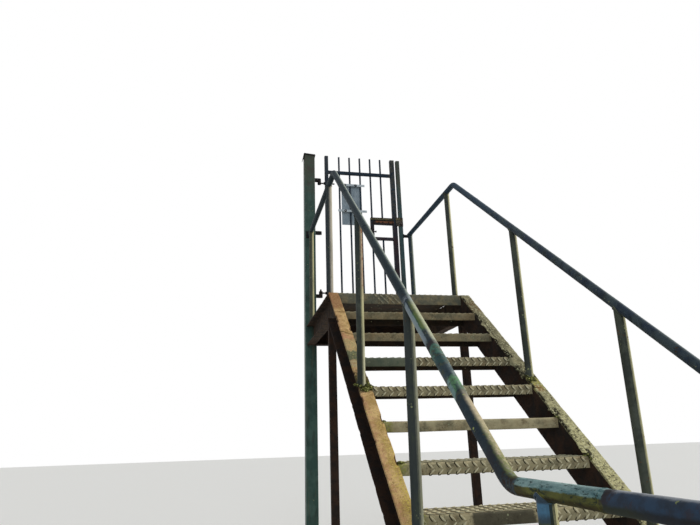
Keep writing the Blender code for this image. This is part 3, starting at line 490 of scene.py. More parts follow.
# The right one grows paler and more lichened down the flight, with bright yellow at the third post's foot
def rightChannelZones(f, look):
    wander = f.wander(0.5, 20, 5, 0.65)
    low = f.below(f.y + wander, -0.25, 0.45)
    crust = f.specks(0.40, 0.56, 95, 5, 0.75)
    f.lay(low * crust * 0.85, f.tones("#b3ad78", "#e2deae", 50, 4, 0.7), 0.92, 0.9)
    bright = f.between(f.y + wander * 0.12, 0.17, 0.26, 0.02) * crust
    f.lay(bright * 0.85, "#a8a24e", 0.92, 0.9)
    out = f.mark("out")
    rim = f.band(out + wander * 0.3, 0.84, 1.0) * f.specks(0.38, 0.54, 60, 5, 0.75)
    f.lay(rim * 0.6, "#bdb99b", 0.9, 0.7)
    brown = f.between(f.y + wander * 0.1, 0.86, 1.02, 0.02) * f.specks(0.42, 0.60, 36, 5, 0.7)
    f.lay(brown * 0.7, "#5f4327", 0.88, 0.4)
    slit = f.between(out + f.wander(0.25, 50, 4, 0.7) - f.y * 1.65, -0.935, -0.880, 0.008)
    f.lay(slit * f.between(f.y, 0.575, 0.765, 0.01) * 0.95, "#15130e", 0.95, -0.9)
    shade = f.between(f.y + wander * 0.15, 0.245, 0.345, 0.012) * f.specks(0.40, 0.52, 70, 5, 0.75)
    f.lay(shade * 0.85, "#26241a", 0.95, 0.2)
    spot = f.between(f.y + wander * 0.06, 0.150, 0.195, 0.008)
    f.lay(spot * f.between(out + wander * 0.3, 0.15, 0.75, 0.08) * 0.7, "#86663f", 0.9, 0.5)
    holes = f.specks(0.58, 0.61, 46, 4, 0.75, 0.8) * f.below(f.y, 0.1, 0.4)
    f.lay(holes * 0.9, "#2a251c", 0.9, -0.4)
    for at, half, inner, outer in ((0.020, 0.022, 0.02, 0.42), (-0.215, 0.020, 0.05, 0.38),
                                   (0.440, 0.030, -0.2, 0.30)):
        hole = f.between(f.y + wander * 0.04, at - half, at + half, 0.006)
        f.lay(hole * f.between(out + wander * 0.3, inner, outer, 0.05) * 0.9, "#1e1b14", 0.95, -0.8)
    channelZones(f, look)


# The left one: yellow lichen on the inner half further down, grey, green and rosy patches above the third
# post's foot, where the green is partly a painted shadow of the post and partly lichen, a dark crust across
# the foot that is mostly a painted shadow, dark speckles and pale ones, and browner at its head
def leftChannelZones(f, look):
    out = f.mark("out")
    wander = f.noise(24, 5, 0.65)
    low = f.below(f.y + wander * 0.5, -0.10, 0.45)
    inner = f.below(out + wander * 0.6, 0.45, 1.15)
    crust = f.specks(0.40, 0.62, 110, 6, 0.8)
    f.lay(low * (inner * crust * 0.85 + crust * 0.15), f.mix(crust, "#a4923f", "#cab65a"), 0.92, 0.9)
    pink = f.band(out + wander * 0.5, 0.70, 1.05) * f.specks(0.40, 0.6, 60, 4, 0.7)
    f.lay(pink * 0.55, "#b07f66", 0.85, 0.4)
    chipped = f.specks(0.60, 0.64, 70, 6, 0.8, 0.6)
    f.lay(chipped * 0.7, "#5d4028", 0.9, 0.0)
    along = f.y + (wander - 0.5) * 0.10
    grey = f.between(along, 0.45, 0.57, 0.012) * f.specks(0.36, 0.54, 70, 5, 0.7)
    f.lay(grey * 0.7, "#938c66", 0.9, 0.6)
    f.lay(f.between(along, 0.562, 0.612, 0.012) * 0.50, "#a9735c", 0.85, 0.4)
    # Dark teal-green across the flange: partly a painted shadow of the third post, partly lichen
    f.lay(f.between(along, 0.395, 0.460, 0.008) * 0.85, f.tones("#34504a", "#5d6b4a", 60, 5, 0.7), 0.9, 0.7)
    dry = f.between(along, 0.345, 0.392, 0.008) * f.specks(0.38, 0.52, 80, 5, 0.7)
    f.lay(dry * 0.75, "#b3ab86", 0.9, 0.7)
    head = f.band(f.y + (wander - 0.5) * 0.12, 0.84, 0.92)
    f.lay(head * 0.75, "#845d42", 0.85, 0.4)
    f.lay(f.specks(0.54, 0.64, 115, 5, 0.8) * 0.60, "#715634", 0.9, 0.2)
    f.lay(f.specks(0.55, 0.65, 95, 5, 0.8, 0.3) * 0.55, "#dfc88f", 0.9, 0.7)
    seam = f.between(f.y + f.wander(0.03, 40, 3, 0.6), 0.838, 0.844, 0.003)
    f.lay(seam * 0.6, "#5c4129", 0.9, -0.2)
    crack = f.between(f.y + f.wander(0.035, 40, 3, 0.6) - out * 0.03, 0.612, 0.618, 0.0015)
    f.lay(crack * 0.95, "#24170f", 0.95, -0.8)
    # Dark green-black crust across the flange at the third post's foot: mostly a painted shadow
    foot = f.between(along, 0.165, 0.300, 0.012) * f.specks(0.34, 0.48, 60, 5, 0.7)
    f.lay(foot * 0.9, f.tones("#1d1f15", "#4c4f2c", 90, 4, 0.7), 0.95, 0.8)
    channelZones(f, look)


# Brown stains, paler down the flight and cooler above, a bald and a teal stretch on two lips, green at the
# left ends; then the lugs' dirt with painted shadow and their wear, and painted shade inside the folds
def treadZones(f, look):
    stain = f.specks(0.48, 0.62, 5, 4, 0.6, 0.4)
    f.lay(stain * 0.5, "#7d6a4d", 0.88, 0.4)
    pale = f.below(f.y, -0.1, 0.9) * f.specks(0.30, 0.60, 16, 5, 0.65)
    f.lay(pale * 0.75, f.tones("#9f9475", "#c9c09c", 40, 5, 0.7), 0.88, 0.5)
    cool = f.band(f.y + f.wander(0.2, 14, 4, 0.6), 0.85, 0.95) * f.specks(0.36, 0.60, 18, 5, 0.65)
    f.lay(cool * 0.6, "#5a6058", 0.85, 0.5)
    bald = f.between(f.x + f.wander(0.06, 24, 5, 0.7), -0.22, 0.05, 0.01)
    bald = bald * f.between(f.y, -0.47, -0.44, 0.004)
    f.lay(bald * 0.85, f.tones("#24221f", "#42423a", 30, 5, 0.7), 0.8, 0.3)
    top = f.specks(0.52, 0.62, 120, 5, 0.75) * f.specks(0.42, 0.60, 9, 3, 0.6)
    f.lay(top * 0.6, "#393326", 0.9, 0.0)
    green = f.below(f.x + f.wander(0.10, 30, 5, 0.7), -0.43, -0.38) * f.below(f.y, 0.0, 0.1)
    f.lay(green * f.specks(0.42, 0.56, 110, 5, 0.75) * 0.85, "#8d9148", 0.95, 0.8)
    teal = f.between(f.y, 0.40, 0.47, 0.01) * f.below(f.x + f.noise(14) * 0.1, -0.13, -0.07)
    f.lay(teal * 0.7, "#47594f", 0.8, 0.5)
    # Dirt with painted shadow on the side of each lug away from the key lamp
    f.lay(f.band(f.mark("dirtAndShadow"), 0.15, 0.75) * 0.95, "#1f1c14", 0.95, 0.3)
    worn = f.mark("raised") * f.specks(0.25, 0.55, 60, 4, 0.7)
    f.lay(worn * 0.85, "#cdc7a8", 0.7, 0.6)
    # Painted shade inside the folds and down the back
    f.lay(f.mark("shaded") * 0.9, *rustLayer(f, shadedLook))


finishes = {
    "post": oldPaint("olivePostPaint", postLook, postZones),
    "latch": oldPaint("latchPostPaint", latchLook, postZones),
    "leaf": oldPaint("leafPaint", leafLook, leafZones),
    "leftRail": oldPaint("leftRailPaint", leftRailLook, leftRailZones),
    "rightRail": oldPaint("rightRailPaint", rightRailLook, rightRailZones),
    "railPost": oldPaint("railPostPaint", railPostLook, railPostZones),
    "beam": rustedSteel("darkBeam", beamLook),
    "iron": rustedSteel("darkIronAndShade", ironLook),
    "crust": rustedSteel("lichenCrust", crustLook),
    "leftChannel": rustedSteel("ochreChannel", leftChannelLook, leftChannelZones, underFlange),
    "rightChannel": rustedSteel("lichenedChannel", rightChannelLook, rightChannelZones, underFlange),
    "tread": rustedSteel("treadPlate", treadLook, treadZones),
    "hidden": rustedSteel("shadedSteel", shadedLook),
    "lock": rustedSteel("rustedLock", lockLook, lockZones),
    "plate": oldPaint("barePlate", plateLook),
    "clamp": oldPaint("paleClamp", clampLook),
}
print("finishes made:", len(finishes))


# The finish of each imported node, by the first pattern that its name matches
nodeFinishes = [("left_handrail", "leftRail"), ("right_handrail", "rightRail"), ("*rail_post*", "railPost"),
                ("tread*", "tread"), ("landing_deck", "tread"), ("*stringer*", "hidden"),
                ("*landing_*", "hidden"), ("lock_frame", "lock"), ("lock_case", "lock"), ("keeper", "lock"),
                ("*hook*", "iron"), ("latch_knob", "iron"), ("rail_end_plate", "iron"), ("rail_stub", "iron"),
                ("*plate_clamp", "clamp"), ("back_plate", "plate"), ("latch_post", "latch"),
                ("*_stile", "leaf"), ("leaf_bars", "leaf"), ("*_hinge_eye", "leaf"), ("*", "post")]
for name, node in nodes.items():
    node.data.materials.clear()
    node.data.materials.append(finishes[next(key for form, key in nodeFinishes if fnmatch(name, form))])


# Shapes

# They are built from the landing's front edge as origin, and putPiece moves them into the part's frame.
# The steelwork's own sizes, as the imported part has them:
steel = {"flightWidth": 0.900, "going": 0.216, "rise": 0.179, "riseCount": 11, "landingLength": 1.200,
         "channelDepth": 0.180, "channelFlange": 0.070, "channelWeb": 0.008, "flangeThickness": 0.011,
         "railRadius": 0.0212, "railBend": 0.090, "railX": 0.485, "railFootHeight": 0.889, "gap": 0.0003}
pitch = math.atan2(steel["rise"], steel["going"])
landingHeight = steel["rise"] * steel["riseCount"]


# Angles round a full turn
def turns(count):
    return np.linspace(0, 2 * np.pi, count, endpoint=False)


# Points from their three coordinates, each a number or an array
def pointsAt(x, y, z):
    return np.stack(np.broadcast_arrays(x, y, z), -1)


# Smooth noise from -1 to 1: fixed values on a lattice, blended between its corners
def cloudAt(points, size, seed):
    table = np.random.default_rng(seed).uniform(-1, 1, (32, 32, 32))
    low = np.floor(points / size).astype(int)
    part = points / size - low
    part = part * part * (3 - 2 * part)
    total = np.zeros(points.shape[:-1])
    for corner in np.ndindex(2, 2, 2):
        spot = (low + corner) % 32
        weight = np.prod(np.where(np.array(corner) == 1, part, 1 - part), axis=-1)
        total += weight * table[spot[..., 0], spot[..., 1], spot[..., 2]]
    return total


# The same noise at sizes that halve, each with half the height
def roughAt(points, size, seed, layers=3):
    return sum(cloudAt(points, size / 2 ** i, seed + i) / 2 ** i for i in range(layers))


def unit(vector):
    return vector / np.linalg.norm(vector, axis=-1, keepdims=True)


def smoothStep(value, low, high):
    share = np.clip((value - low) / (high - low), 0, 1)
    return share * share * (3 - 2 * share)


# Quads between neighbouring rings of a grid; closed rows join the last ring to the first
def gridFaces(rows, columns, closedRows=False):
    i, j = np.meshgrid(np.arange(rows - (not closedRows)), np.arange(columns), indexing="ij")
    nextI, nextJ = (i + 1) % rows, (j + 1) % columns
    corners = (i * columns + j, i * columns + nextJ, nextI * columns + nextJ, nextI * columns + j)
    return np.stack(corners, -1).reshape(-1, 4)


# Turns every face round if the shell's volume, summed over its faces, comes out negative
def outward(points, groups):
    middle = points.mean(0)
    volume = 0.0
    for group in groups:
        corners = points[group] - middle
        for k in range(1, group.shape[1] - 1):
            volume += np.sum(corners[:, 0] * np.cross(corners[:, k], corners[:, k + 1]))
    return points, groups if volume > 0 else [group[:, ::-1] for group in groups]


# Rings of points along a way, closed round each ring, with one flat face at each end
def shellOf(grid, closedRows=False):
    rows, columns = grid.shape[:2]
    groups = [gridFaces(rows, columns, closedRows)]
    if not closedRows:
        groups += [np.arange(columns)[None], np.arange(columns)[None, ::-1] + (rows - 1) * columns]
    return outward(grid.reshape(-1, 3), groups)


# Several shells as one
def joined(shells):
    points, groups, start = [], [], 0
    for shellPoints, shellGroups in shells:
        points.append(shellPoints)
        groups += [group + start for group in shellGroups]
        start += len(shellPoints)
    return np.concatenate(points), groups


# A mesh from building coordinates, on its body; smooth but for edges sharper than 40 degrees
def putPiece(name, shells, finish, body, replaces=(), sharp=40, marks=None):
    points, groups = joined(shells)
    mesh = bpy.data.meshes.new(name)
    corners = np.concatenate([group.ravel() for group in groups])
    sizes = np.concatenate([np.full(len(group), group.shape[1]) for group in groups])
    mesh.vertices.add(len(points))
    mesh.vertices.foreach_set("co", (points + landingEdge).astype(np.float32).ravel())
    mesh.loops.add(len(corners))
    mesh.loops.foreach_set("vertex_index", corners.astype(np.int32))
    mesh.polygons.add(len(sizes))
    mesh.polygons.foreach_set("loop_start", np.concatenate([[0], np.cumsum(sizes)[:-1]]).astype(np.int32))
    mesh.update(calc_edges=True)
    mesh.validate()
    mesh.shade_smooth()
    mesh.set_sharp_from_angle(angle=math.radians(sharp))
    mesh.materials.append(finish)
    for mark, values in (marks or {}).items():
        attribute = mesh.attributes.new(mark, "FLOAT", "POINT")
        attribute.data.foreach_set("value", values.astype(np.float32).ravel())
    piece = bpy.data.objects.new(name, mesh)
    bpy.context.scene.collection.objects.link(piece)
    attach(piece, body)
    if replaces:
        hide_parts(*replaces)


# An arc of one radius that touches both sides of a corner
def cornerArc(before, corner, after, radius, steps):
    back, forth = unit(before - corner), unit(after - corner)
    half = (math.pi - math.acos(np.clip(back @ forth, -1, 1))) / 2
    centre = corner + unit(back + forth) * radius / math.cos(half)
    start = unit(corner + back * radius * math.tan(half) - centre)
    end = unit(corner + forth * radius * math.tan(half) - centre)
    side = unit(end - start * (start @ end))
    angles = np.linspace(0, 2 * half, steps + 1)[:, None]
    return centre + radius * (start * np.cos(angles) + side * np.sin(angles))


# An outline with its corners rounded by arcs, and points between them
def roundedOutline(corners, radii, spacing, steps=4):
    corners = np.array(corners, float)
    ends = zip(np.roll(corners, 1, 0), corners, np.roll(corners, -1, 0), radii)
    arcs = [cornerArc(*end, steps) for end in ends]
    outline = []
    for arc, following in zip(arcs, arcs[1:] + arcs[:1]):
        outline.append(arc)
        count = int(np.linalg.norm(following[0] - arc[-1]) / spacing)
        if count > 1:
            share = np.arange(1, count)[:, None] / count
            outline.append(arc[-1] * (1 - share) + following[0] * share)
    return np.concatenate(outline)


# Straight runs joined by arcs of one radius, as points at equal steps along it
def roundedPath(corners, radius, step):
    corners = np.array(corners, float)
    arcs = [cornerArc(*near, radius, 24) for near in zip(corners, corners[1:], corners[2:])]
    path = np.concatenate([corners[:1], *arcs, corners[-1:]])
    along = np.concatenate([[0], np.cumsum(np.linalg.norm(np.diff(path, axis=0), axis=1))])
    at = np.linspace(0, along[-1], int(along[-1] / step) + 1)
    return np.stack([np.interp(at, along, path[:, k]) for k in range(3)], -1)


# Outward directions of a closed outline, from the line between each point's two neighbours
def outlineNormals(outline):
    way = np.roll(outline, -1, 0) - np.roll(outline, 1, 0)
    normals = unit(np.stack([way[:, 1], -way[:, 0]], -1))
    area = np.sum(outline[:, 0] * np.roll(outline[:, 1], -1) - np.roll(outline[:, 0], -1) * outline[:, 1])
    return normals if area > 0 else -normals


# A thin sheet about its middle surface: point = middle + or - normal * thickness / 2
def sheetShell(grid, thickness):
    normal = unit(np.cross(np.gradient(grid, axis=0), np.gradient(grid, axis=1)))
    near, far = grid + normal * thickness / 2, grid - normal * thickness / 2
    return shellOf(np.concatenate([near, far[:, ::-1]], 1))


# The axis at unit length, and directions all round it: first * cos + second * sin
def axisRing(axis, count):
    axis = unit(np.array(axis, float))
    first = unit(np.cross(axis, (0, 0, 1.0) if abs(axis[2]) < 0.9 else (1.0, 0, 0)))
    turn = turns(count)[:, None]
    return axis, first * np.cos(turn) + np.cross(axis, first) * np.sin(turn)


# Turned about a straight axis: point = start + axis * along + radius * ring
def spunShell(start, axis, along, radius, count=24):
    axis, ring = axisRing(axis, count)
    along = np.asarray(along, float)
    radius = np.broadcast_to(np.asarray(radius, float).reshape(len(along), -1), (len(along), count))
    return shellOf(np.array(start) + along[:, None, None] * axis + radius[..., None] * ring)


# Nut or bolt head: the smaller of a hexagon and a cone that cuts its corners at both faces
def hexShell(start, axis, corner, length, count=36):
    turn = turns(count)
    hexagon = corner * math.cos(math.pi / 6) / np.cos((turn % (np.pi / 3)) - np.pi / 6)
    along = np.array((0, 0.06, 0.14, 0.24, 0.76, 0.86, 0.94, 1.0)) * length
    cone = corner * 0.90 + np.minimum(along, length - along)
    return spunShell(start, axis, along, np.minimum(hexagon, cone[:, None]), count)


# Screw thread: the radius falls and rises once a turn, and the turn moves on along the rod
def threadShell(start, axis, length, radius, turnLength, depth, count=16):
    along = np.arange(0, length, turnLength / 5)
    turn = np.linspace(0, 1, count, endpoint=False)
    share = (along[:, None] / turnLength + turn) % 1
    return spunShell(start, axis, along, radius - depth * np.abs(share * 2 - 1), count)


lumpLook = {"pole": 0.08, "rings": 8, "sides": 12, "uneven": 0.45, "size": 0.9}


# Lump: rings from pole to pole of a squashed ball, uneven by noise. point = centre + radii * uneven * ball
def lumpShell(centre, radii, seed):
    rise = np.linspace(lumpLook["pole"], np.pi - lumpLook["pole"], lumpLook["rings"])[:, None]
    turn = turns(lumpLook["sides"])
    ball = pointsAt(np.sin(rise) * np.cos(turn), np.sin(rise) * np.sin(turn), np.cos(rise))
    uneven = 1 + lumpLook["uneven"] * roughAt(ball + (seed, 0.0, 0.0), lumpLook["size"], seed, 2)
    return shellOf(np.array(centre) + ball * np.array(radii) * uneven[..., None])


# Handrails

handrailLook = {
    "left": {"side": -1, "height": 0.859, "peakY": -0.121, "backEnd": 1.1917, "lastPostY": -3.3998},
    "right": {"side": 1, "height": 0.895, "peakY": 0.028, "backEnd": 1.200, "lastPostY": -3.3502},
}
tubeLook = {"step": 0.012, "sides": 40, "dents": 0.0004, "dentSize": 0.11, "grain": 0.00012,
            "grainSize": 0.02, "sunk": 0.0002}
railBendY = -steel["riseCount"] * steel["going"] - 0.018


def railCorners(look):
    x, high, low = look["side"] * steel["railX"], landingHeight + look["height"], steel["railFootHeight"]
    return [(x, look["backEnd"], high), (x, look["peakY"], high), (x, railBendY, low),
            (x, look["lastPostY"] - 0.030, low)]


# Round tube, dented by tenths of a millimetre: point = path + radius * (across * cos + lift * sin)
def makeHandrail(name, look):
    path = roundedPath(railCorners(look), steel["railBend"], tubeLook["step"])
    tangent = unit(np.gradient(path, axis=0))
    across = np.array((1.0, 0, 0))
    lift = np.cross(tangent, across)
    turn = turns(tubeLook["sides"])[:, None]
    out = across * np.cos(turn) + lift[:, None] * np.sin(turn)
    grid = path[:, None] + out * steel["railRadius"]
    uneven = np.minimum(roughAt(grid, tubeLook["dentSize"], 7), 0.2) * tubeLook["dents"]
    uneven = uneven + roughAt(grid, tubeLook["grainSize"], 9) * tubeLook["grain"] - tubeLook["sunk"]
    putPiece(f"{name}_rail_tube", [shellOf(grid + out * uneven[..., None])], finishes[f"{name}Rail"],
             "structure", [f"{name}_handrail"])


for side, look in handrailLook.items():
    makeHandrail(side, look)
print("handrails made")


# Stringers and landing beams

channelShape = {"rootRadius": 0.009, "toeRadius": 0.004, "backRadius": 0.002, "spacing": 0.005,
                "station": 0.009, "pitting": 0.0007, "sunk": 0.0001, "toeWidth": 0.010, "innerWidth": 0.014,
                "innerDepth": 0.012, "biteSizes": {"toe": 0.045, "inner": 0.06, "notch": 0.008, "pit": 0.012}}


# Rolled channel: distance outwards from its flat back, distance below its top
def channelOutline():
    web, flange = steel["channelWeb"], steel["channelFlange"]
    depth, thick = steel["channelDepth"], steel["flangeThickness"]
    corners = [(0, 0), (flange, 0), (flange, thick), (web, thick),
               (web, depth - thick), (flange, depth - thick), (flange, depth), (0, depth)]
    back, toe, root = channelShape["backRadius"], channelShape["toeRadius"], channelShape["rootRadius"]
    return roundedOutline(corners, [back, toe, toe, root, root, toe, toe, back], channelShape["spacing"])


# Rust eats the flange's toes and, where the look says so, the inner edge of its top
def eaten(outline, points, look):
    shape, sizes, seed = channelShape, channelShape["biteSizes"], look["seed"]
    out, down = outline[:, 0], outline[:, 1]
    toe = smoothStep(out, steel["channelFlange"] - shape["toeWidth"], steel["channelFlange"])
    toeBite = np.clip(roughAt(points, sizes["toe"], seed, 4) - look["toeSpared"], 0, 1) * look["toeBite"]
    inner = 1 - smoothStep(out, 0.001, shape["innerWidth"])
    inner = inner * (1 - smoothStep(down, 0.001, shape["innerDepth"]))
    innerBite = np.clip(roughAt(points, sizes["inner"], seed + 20, 4) - look["innerSpared"], 0, 1)
    innerBite = innerBite * look["innerBite"]
    ragged = 1 + 0.5 * roughAt(points, sizes["notch"], seed + 30, 2)
    for at, reach, depth in look["notches"]:
        innerBite = np.maximum(innerBite, depth * ragged * np.exp(-((points[..., 1] - at) / reach) ** 4))
    pits = np.clip(roughAt(points, sizes["pit"], seed + 40, 2), 0, 1) * shape["pitting"]
    return toe * toeBite + inner * innerBite, pits + shape["sunk"]


# Channel between two mitred ends: reach runs from foot(down) to head(down) along its own direction.
# point = (side * (half the width + out), reach * cos + down * sin, landing height + reach * sin - down * cos)
def makeChannel(name, look, foot, head, slope, length, finish, replaces):
    outline = channelOutline()
    out, down = outline[:, 0], outline[:, 1]
    share = np.linspace(0, 1, int(length / channelShape["station"]) + 1)[:, None]
    reach = foot(down) * (1 - share) + head(down) * share

    def placed(shape):
        y = reach * math.cos(slope) + shape[..., 1] * math.sin(slope)
        z = landingHeight + reach * math.sin(slope) - shape[..., 1] * math.cos(slope)
        return pointsAt(look["side"] * (steel["flightWidth"] / 2 + shape[..., 0]), y, np.maximum(z, 0))

    bitten, pits = eaten(outline, placed(outline), look)
    grid = placed(outline - outlineNormals(outline) * (bitten + pits)[..., None])
    even = np.zeros_like(bitten)
    marks = {"down": even + down, "out": even + out / steel["channelFlange"],
             "bitten": smoothStep(bitten, 0.0004, 0.0022)}
    putPiece(name, [shellOf(grid)], finish, "structure", replaces, marks=marks)


# Notches in the inner edge: place along y, half length and depth
channelLooks = {
    "left": {"side": -1, "seed": 11, "toeSpared": 0.25, "toeBite": 0.004, "innerSpared": 0.35,
             "innerBite": 0.004, "notches": [(-0.398, 0.014, 0.011), (-0.765, 0.022, 0.009),
                                             (-1.06, 0.016, 0.008), (-1.28, 0.020, 0.009)]},
    "right": {"side": 1, "seed": 12, "toeSpared": 0.15, "toeBite": 0.005, "innerSpared": -0.05,
              "innerBite": 0.014, "notches": [(-0.30, 0.012, 0.010), (-0.42, 0.05, 0.009),
                                              (-0.615, 0.032, 0.018), (-0.74, 0.040, 0.013),
                                              (-0.86, 0.014, 0.014), (-1.06, 0.018, 0.015),
                                              (-1.28, 0.022, 0.015)]},
}


# Where the stringers end: level on the floor, mitred under the landing; the landing's beams end square
def footCut(down):
    return -(landingHeight - down * math.cos(pitch)) / math.sin(pitch)


def mitre(down):
    return down * math.tan(pitch / 2) + steel["gap"] / 2


def backCut(down):
    return down * 0 + steel["landingLength"]


for side, look in channelLooks.items():
    makeChannel(f"{side}_stringer_steel", look, footCut, lambda down: -mitre(down), pitch,
                landingHeight / math.sin(pitch), finishes[f"{side}Channel"], [f"{side}_stringer"])
    makeChannel(f"{side}_landing_steel", look, mitre, backCut, 0.0, steel["landingLength"],
                finishes["beam"], [f"{side}_landing_beam"])
print("stringers and landing beams made")


# Treads

treadShape = {"depth": 0.220, "lip": 0.050, "plate": 0.005, "fold": 0.009, "halfWidth": 0.4497,
              "heldFrom": 0.36, "dent": 0.0016, "dentSize": 0.12, "sag": 0.0010, "sagSize": 0.25,
              "edge": 0.0008, "deckLip": 0.075, "lipSag": 0.3}


# Folded plate seen from the side: down the front lip, over the top and down the back lip, 5 mm thick
def treadOutline():
    depth, lip, plate, fold, edge = (treadShape[key] for key in ("depth", "lip", "plate", "fold", "edge"))
    corners = [(0, -lip), (0, 0), (depth, 0), (depth, -lip),
               (depth - plate, -lip), (depth - plate, -plate), (plate, -plate), (plate, -lip)]
    return roundedOutline(corners, [edge, fold, fold, edge, edge, fold - plate, fold - plate, edge], 0.010)


# The landing's sheet has a deeper front lip and none at the back
def deckOutline():
    lip, plate, fold, edge = (treadShape[key] for key in ("deckLip", "plate", "fold", "edge"))
    depth = steel["landingLength"]
    corners = [(0, -lip), (0, 0), (depth, 0), (depth, -plate), (plate, -plate), (plate, -lip)]
    return roundedOutline(corners, [edge, fold, edge, edge, fold - plate, edge], 0.020)


# The front top edge of a tread, counted from the landing as 0: its y and its height
def edgeOf(number):
    return -number * steel["going"], landingHeight - number * steel["rise"]


# Where a tread's points end up: its top dished between the stringers, its lips knocked back in places.
# Both fade out towards the stringers.
def worn(points, number):
    x = points[..., 0]
    front, top = edgeOf(number)
    inFrom = points[..., 1] - front
    below = top - points[..., 2]
    line = pointsAt(x, number, 0.0)
    held = 1 - smoothStep(np.abs(x), treadShape["heldFrom"], treadShape["halfWidth"])
    sag = np.clip(treadShape["sag"] * (1 + roughAt(line, treadShape["sagSize"], 31, 2)), 0, 1) * held
    knocked = np.clip(roughAt(line, treadShape["dentSize"], 33, 3), 0, 1) * treadShape["dent"] * held
    lowness = smoothStep(below, 0.0, treadShape["lip"])
    towardsMiddle = np.where(inFrom < treadShape["depth"] / 2, 1.0, -1.0)
    moved = points.copy()
    moved[..., 1] += towardsMiddle * lowness * knocked
    moved[..., 2] -= sag * (1 - lowness * treadShape["lipSag"])
    return moved


# 1 inside the fold and down the back, where neither sun nor feet reach and the tread takes painted shade, 0
# on the top and the front lip
def shadeOf(outline, depth):
    inside = (outline[:, 1] < -treadShape["plate"] * 0.6) & (outline[:, 0] > treadShape["plate"] * 0.6)
    return np.where(inside | (outline[:, 0] > depth - 0.001), 1.0, 0.0)


# The outline carried straight from stringer to stringer, then worn
def makePlate(name, outline, number, depth, stations, replaced):
    x = np.linspace(-treadShape["halfWidth"], treadShape["halfWidth"], stations)[:, None]
    front, top = edgeOf(number)
    grid = pointsAt(x, outline[:, 0] + front, outline[:, 1] + top)
    putPiece(name, [shellOf(worn(grid, number))], finishes["tread"], "structure", [replaced], 30,
             {"shaded": shadeOf(outline, depth) + x * 0})


# Rows of lugs: the row's place, its lean in degrees and its shift along x. The front lips have two rows
# that lean opposite ways, the landing's three that lean the same way; the tops have both leans in turn.
# The key lamp's direction across a lug, and the gain and start of the painted shadow on each lug's far side,
# are given with the lugs
lugLook = {"length": 0.0330, "width": 0.0090, "sides": 8, "first": -0.4280, "pitch": 0.0405, "count": 22,
           "lip": [(-0.01375, -45, 0.0), (-0.03825, 45, 0.004)],
           "deckLip": [(-0.0145, -45, 0.0), (-0.0390, -45, 0.0245), (-0.0600, -45, 0.0455)],
           "topFrom": 0.0225, "topRow": 0.0250, "treadRows": 8, "deckRows": 47, "taper": 0.22,
           "shadowSide": (0.87, 0.49), "shadowGain": 0.9, "shadowFrom": 0.35}
# Which treads have lugs, and the stretches of x where those on the front lip are worn away
bareLips = {1: [(-0.45, 0.45)], 2: [(-0.45, 0.45)], 3: [(-0.45, -0.14)], 4: [], 6: [(-0.45, -0.33)],
            7: [(-0.226, 0.043)], 8: [], 9: [], 10: []}
deckLipLook = {"bare": [(-0.45, -0.20), (-0.05, 0.45)], "rise": 0.35}  # only a few, nearly worn flat

# Ovals of one lug, from its skirt of dirt and painted shadow to its rounded top: width share, height,
# dirt-and-shadow share and wear
lugRings = [(2.1, -0.0006, 1.0, 0.0), (1.9, 0.00025, 1.0, 0.0), (1.0, 0.0004, 1.0, 0.0),
            (0.90, 0.0022, 0.2, 0.6), (0.60, 0.0035, 0.0, 1.0)]


# Copies of one lug at their middles and angles.
# point = middle + turn(angle) * (length/2 * shrink * cos, width/2 * shrink * sin)
def lugShells(middles, angles, rise=1.0):
    sides = lugLook["sides"]
    turn = turns(sides)
    ovals = [pointsAt(np.cos(turn) * (lugLook["length"] / 2) * (1 - (1 - shrink) * lugLook["taper"]),
                      np.sin(turn) * (lugLook["width"] / 2) * shrink, high * rise)
             for shrink, high, _, _ in lugRings]
    template = np.concatenate(ovals)
    cos, sin = np.cos(angles)[:, None], np.sin(angles)[:, None]
    a = middles[:, :1] + template[:, 0] * cos - template[:, 1] * sin
    b = middles[:, 1:] + template[:, 0] * sin + template[:, 1] * cos
    # How far each point lies on the side away from the key lamp, for the painted shadow
    lightX, lightY = lugLook["shadowSide"]
    shadowSide = -((a - middles[:, :1]) * lightX + (b - middles[:, 1:]) * lightY) / (lugLook["width"] / 2)
    shadowSide = np.clip(lugLook["shadowGain"] * shadowSide - lugLook["shadowFrom"], 0, 1)
    count = len(lugRings)
    quads = gridFaces(count, sides)[:, ::-1]
    caps = [np.arange(sides)[None, ::-1], np.arange(sides)[None] + (count - 1) * sides]
    start = (np.arange(len(middles)) * count * sides)[:, None, None]
    groups = [(start + group[None]).reshape(-1, group.shape[1]) for group in [quads] + caps]
    return pointsAt(a, b, template[:, 2]), groups, shadowSide.ravel()


# Rows of lugs on the top, or on the lip that is folded down in front of it, but none where it is bare
def lugRows(number, rows, bare=(), rise=1.0, onLip=False):
    columns = lugLook["first"] + np.arange(lugLook["count"]) * lugLook["pitch"]
    for low, high in bare:
        columns = columns[(columns < low) | (columns > high)]
    place, lean, shift = (np.array(part)[:, None] + columns * 0 for part in zip(*rows))
    middles = np.stack([(columns + shift).ravel(), place.ravel()], -1)
    points, groups, shadowSide = lugShells(middles, np.radians(lean.ravel()), rise)
    front, top = edgeOf(number)
    x, along, up = np.moveaxis(points, -1, 0)
    placed = pointsAt(x, front - up, top + along) if onLip else pointsAt(x, front + along, top + up)
    return (worn(placed, number).reshape(-1, 3), groups), shadowSide


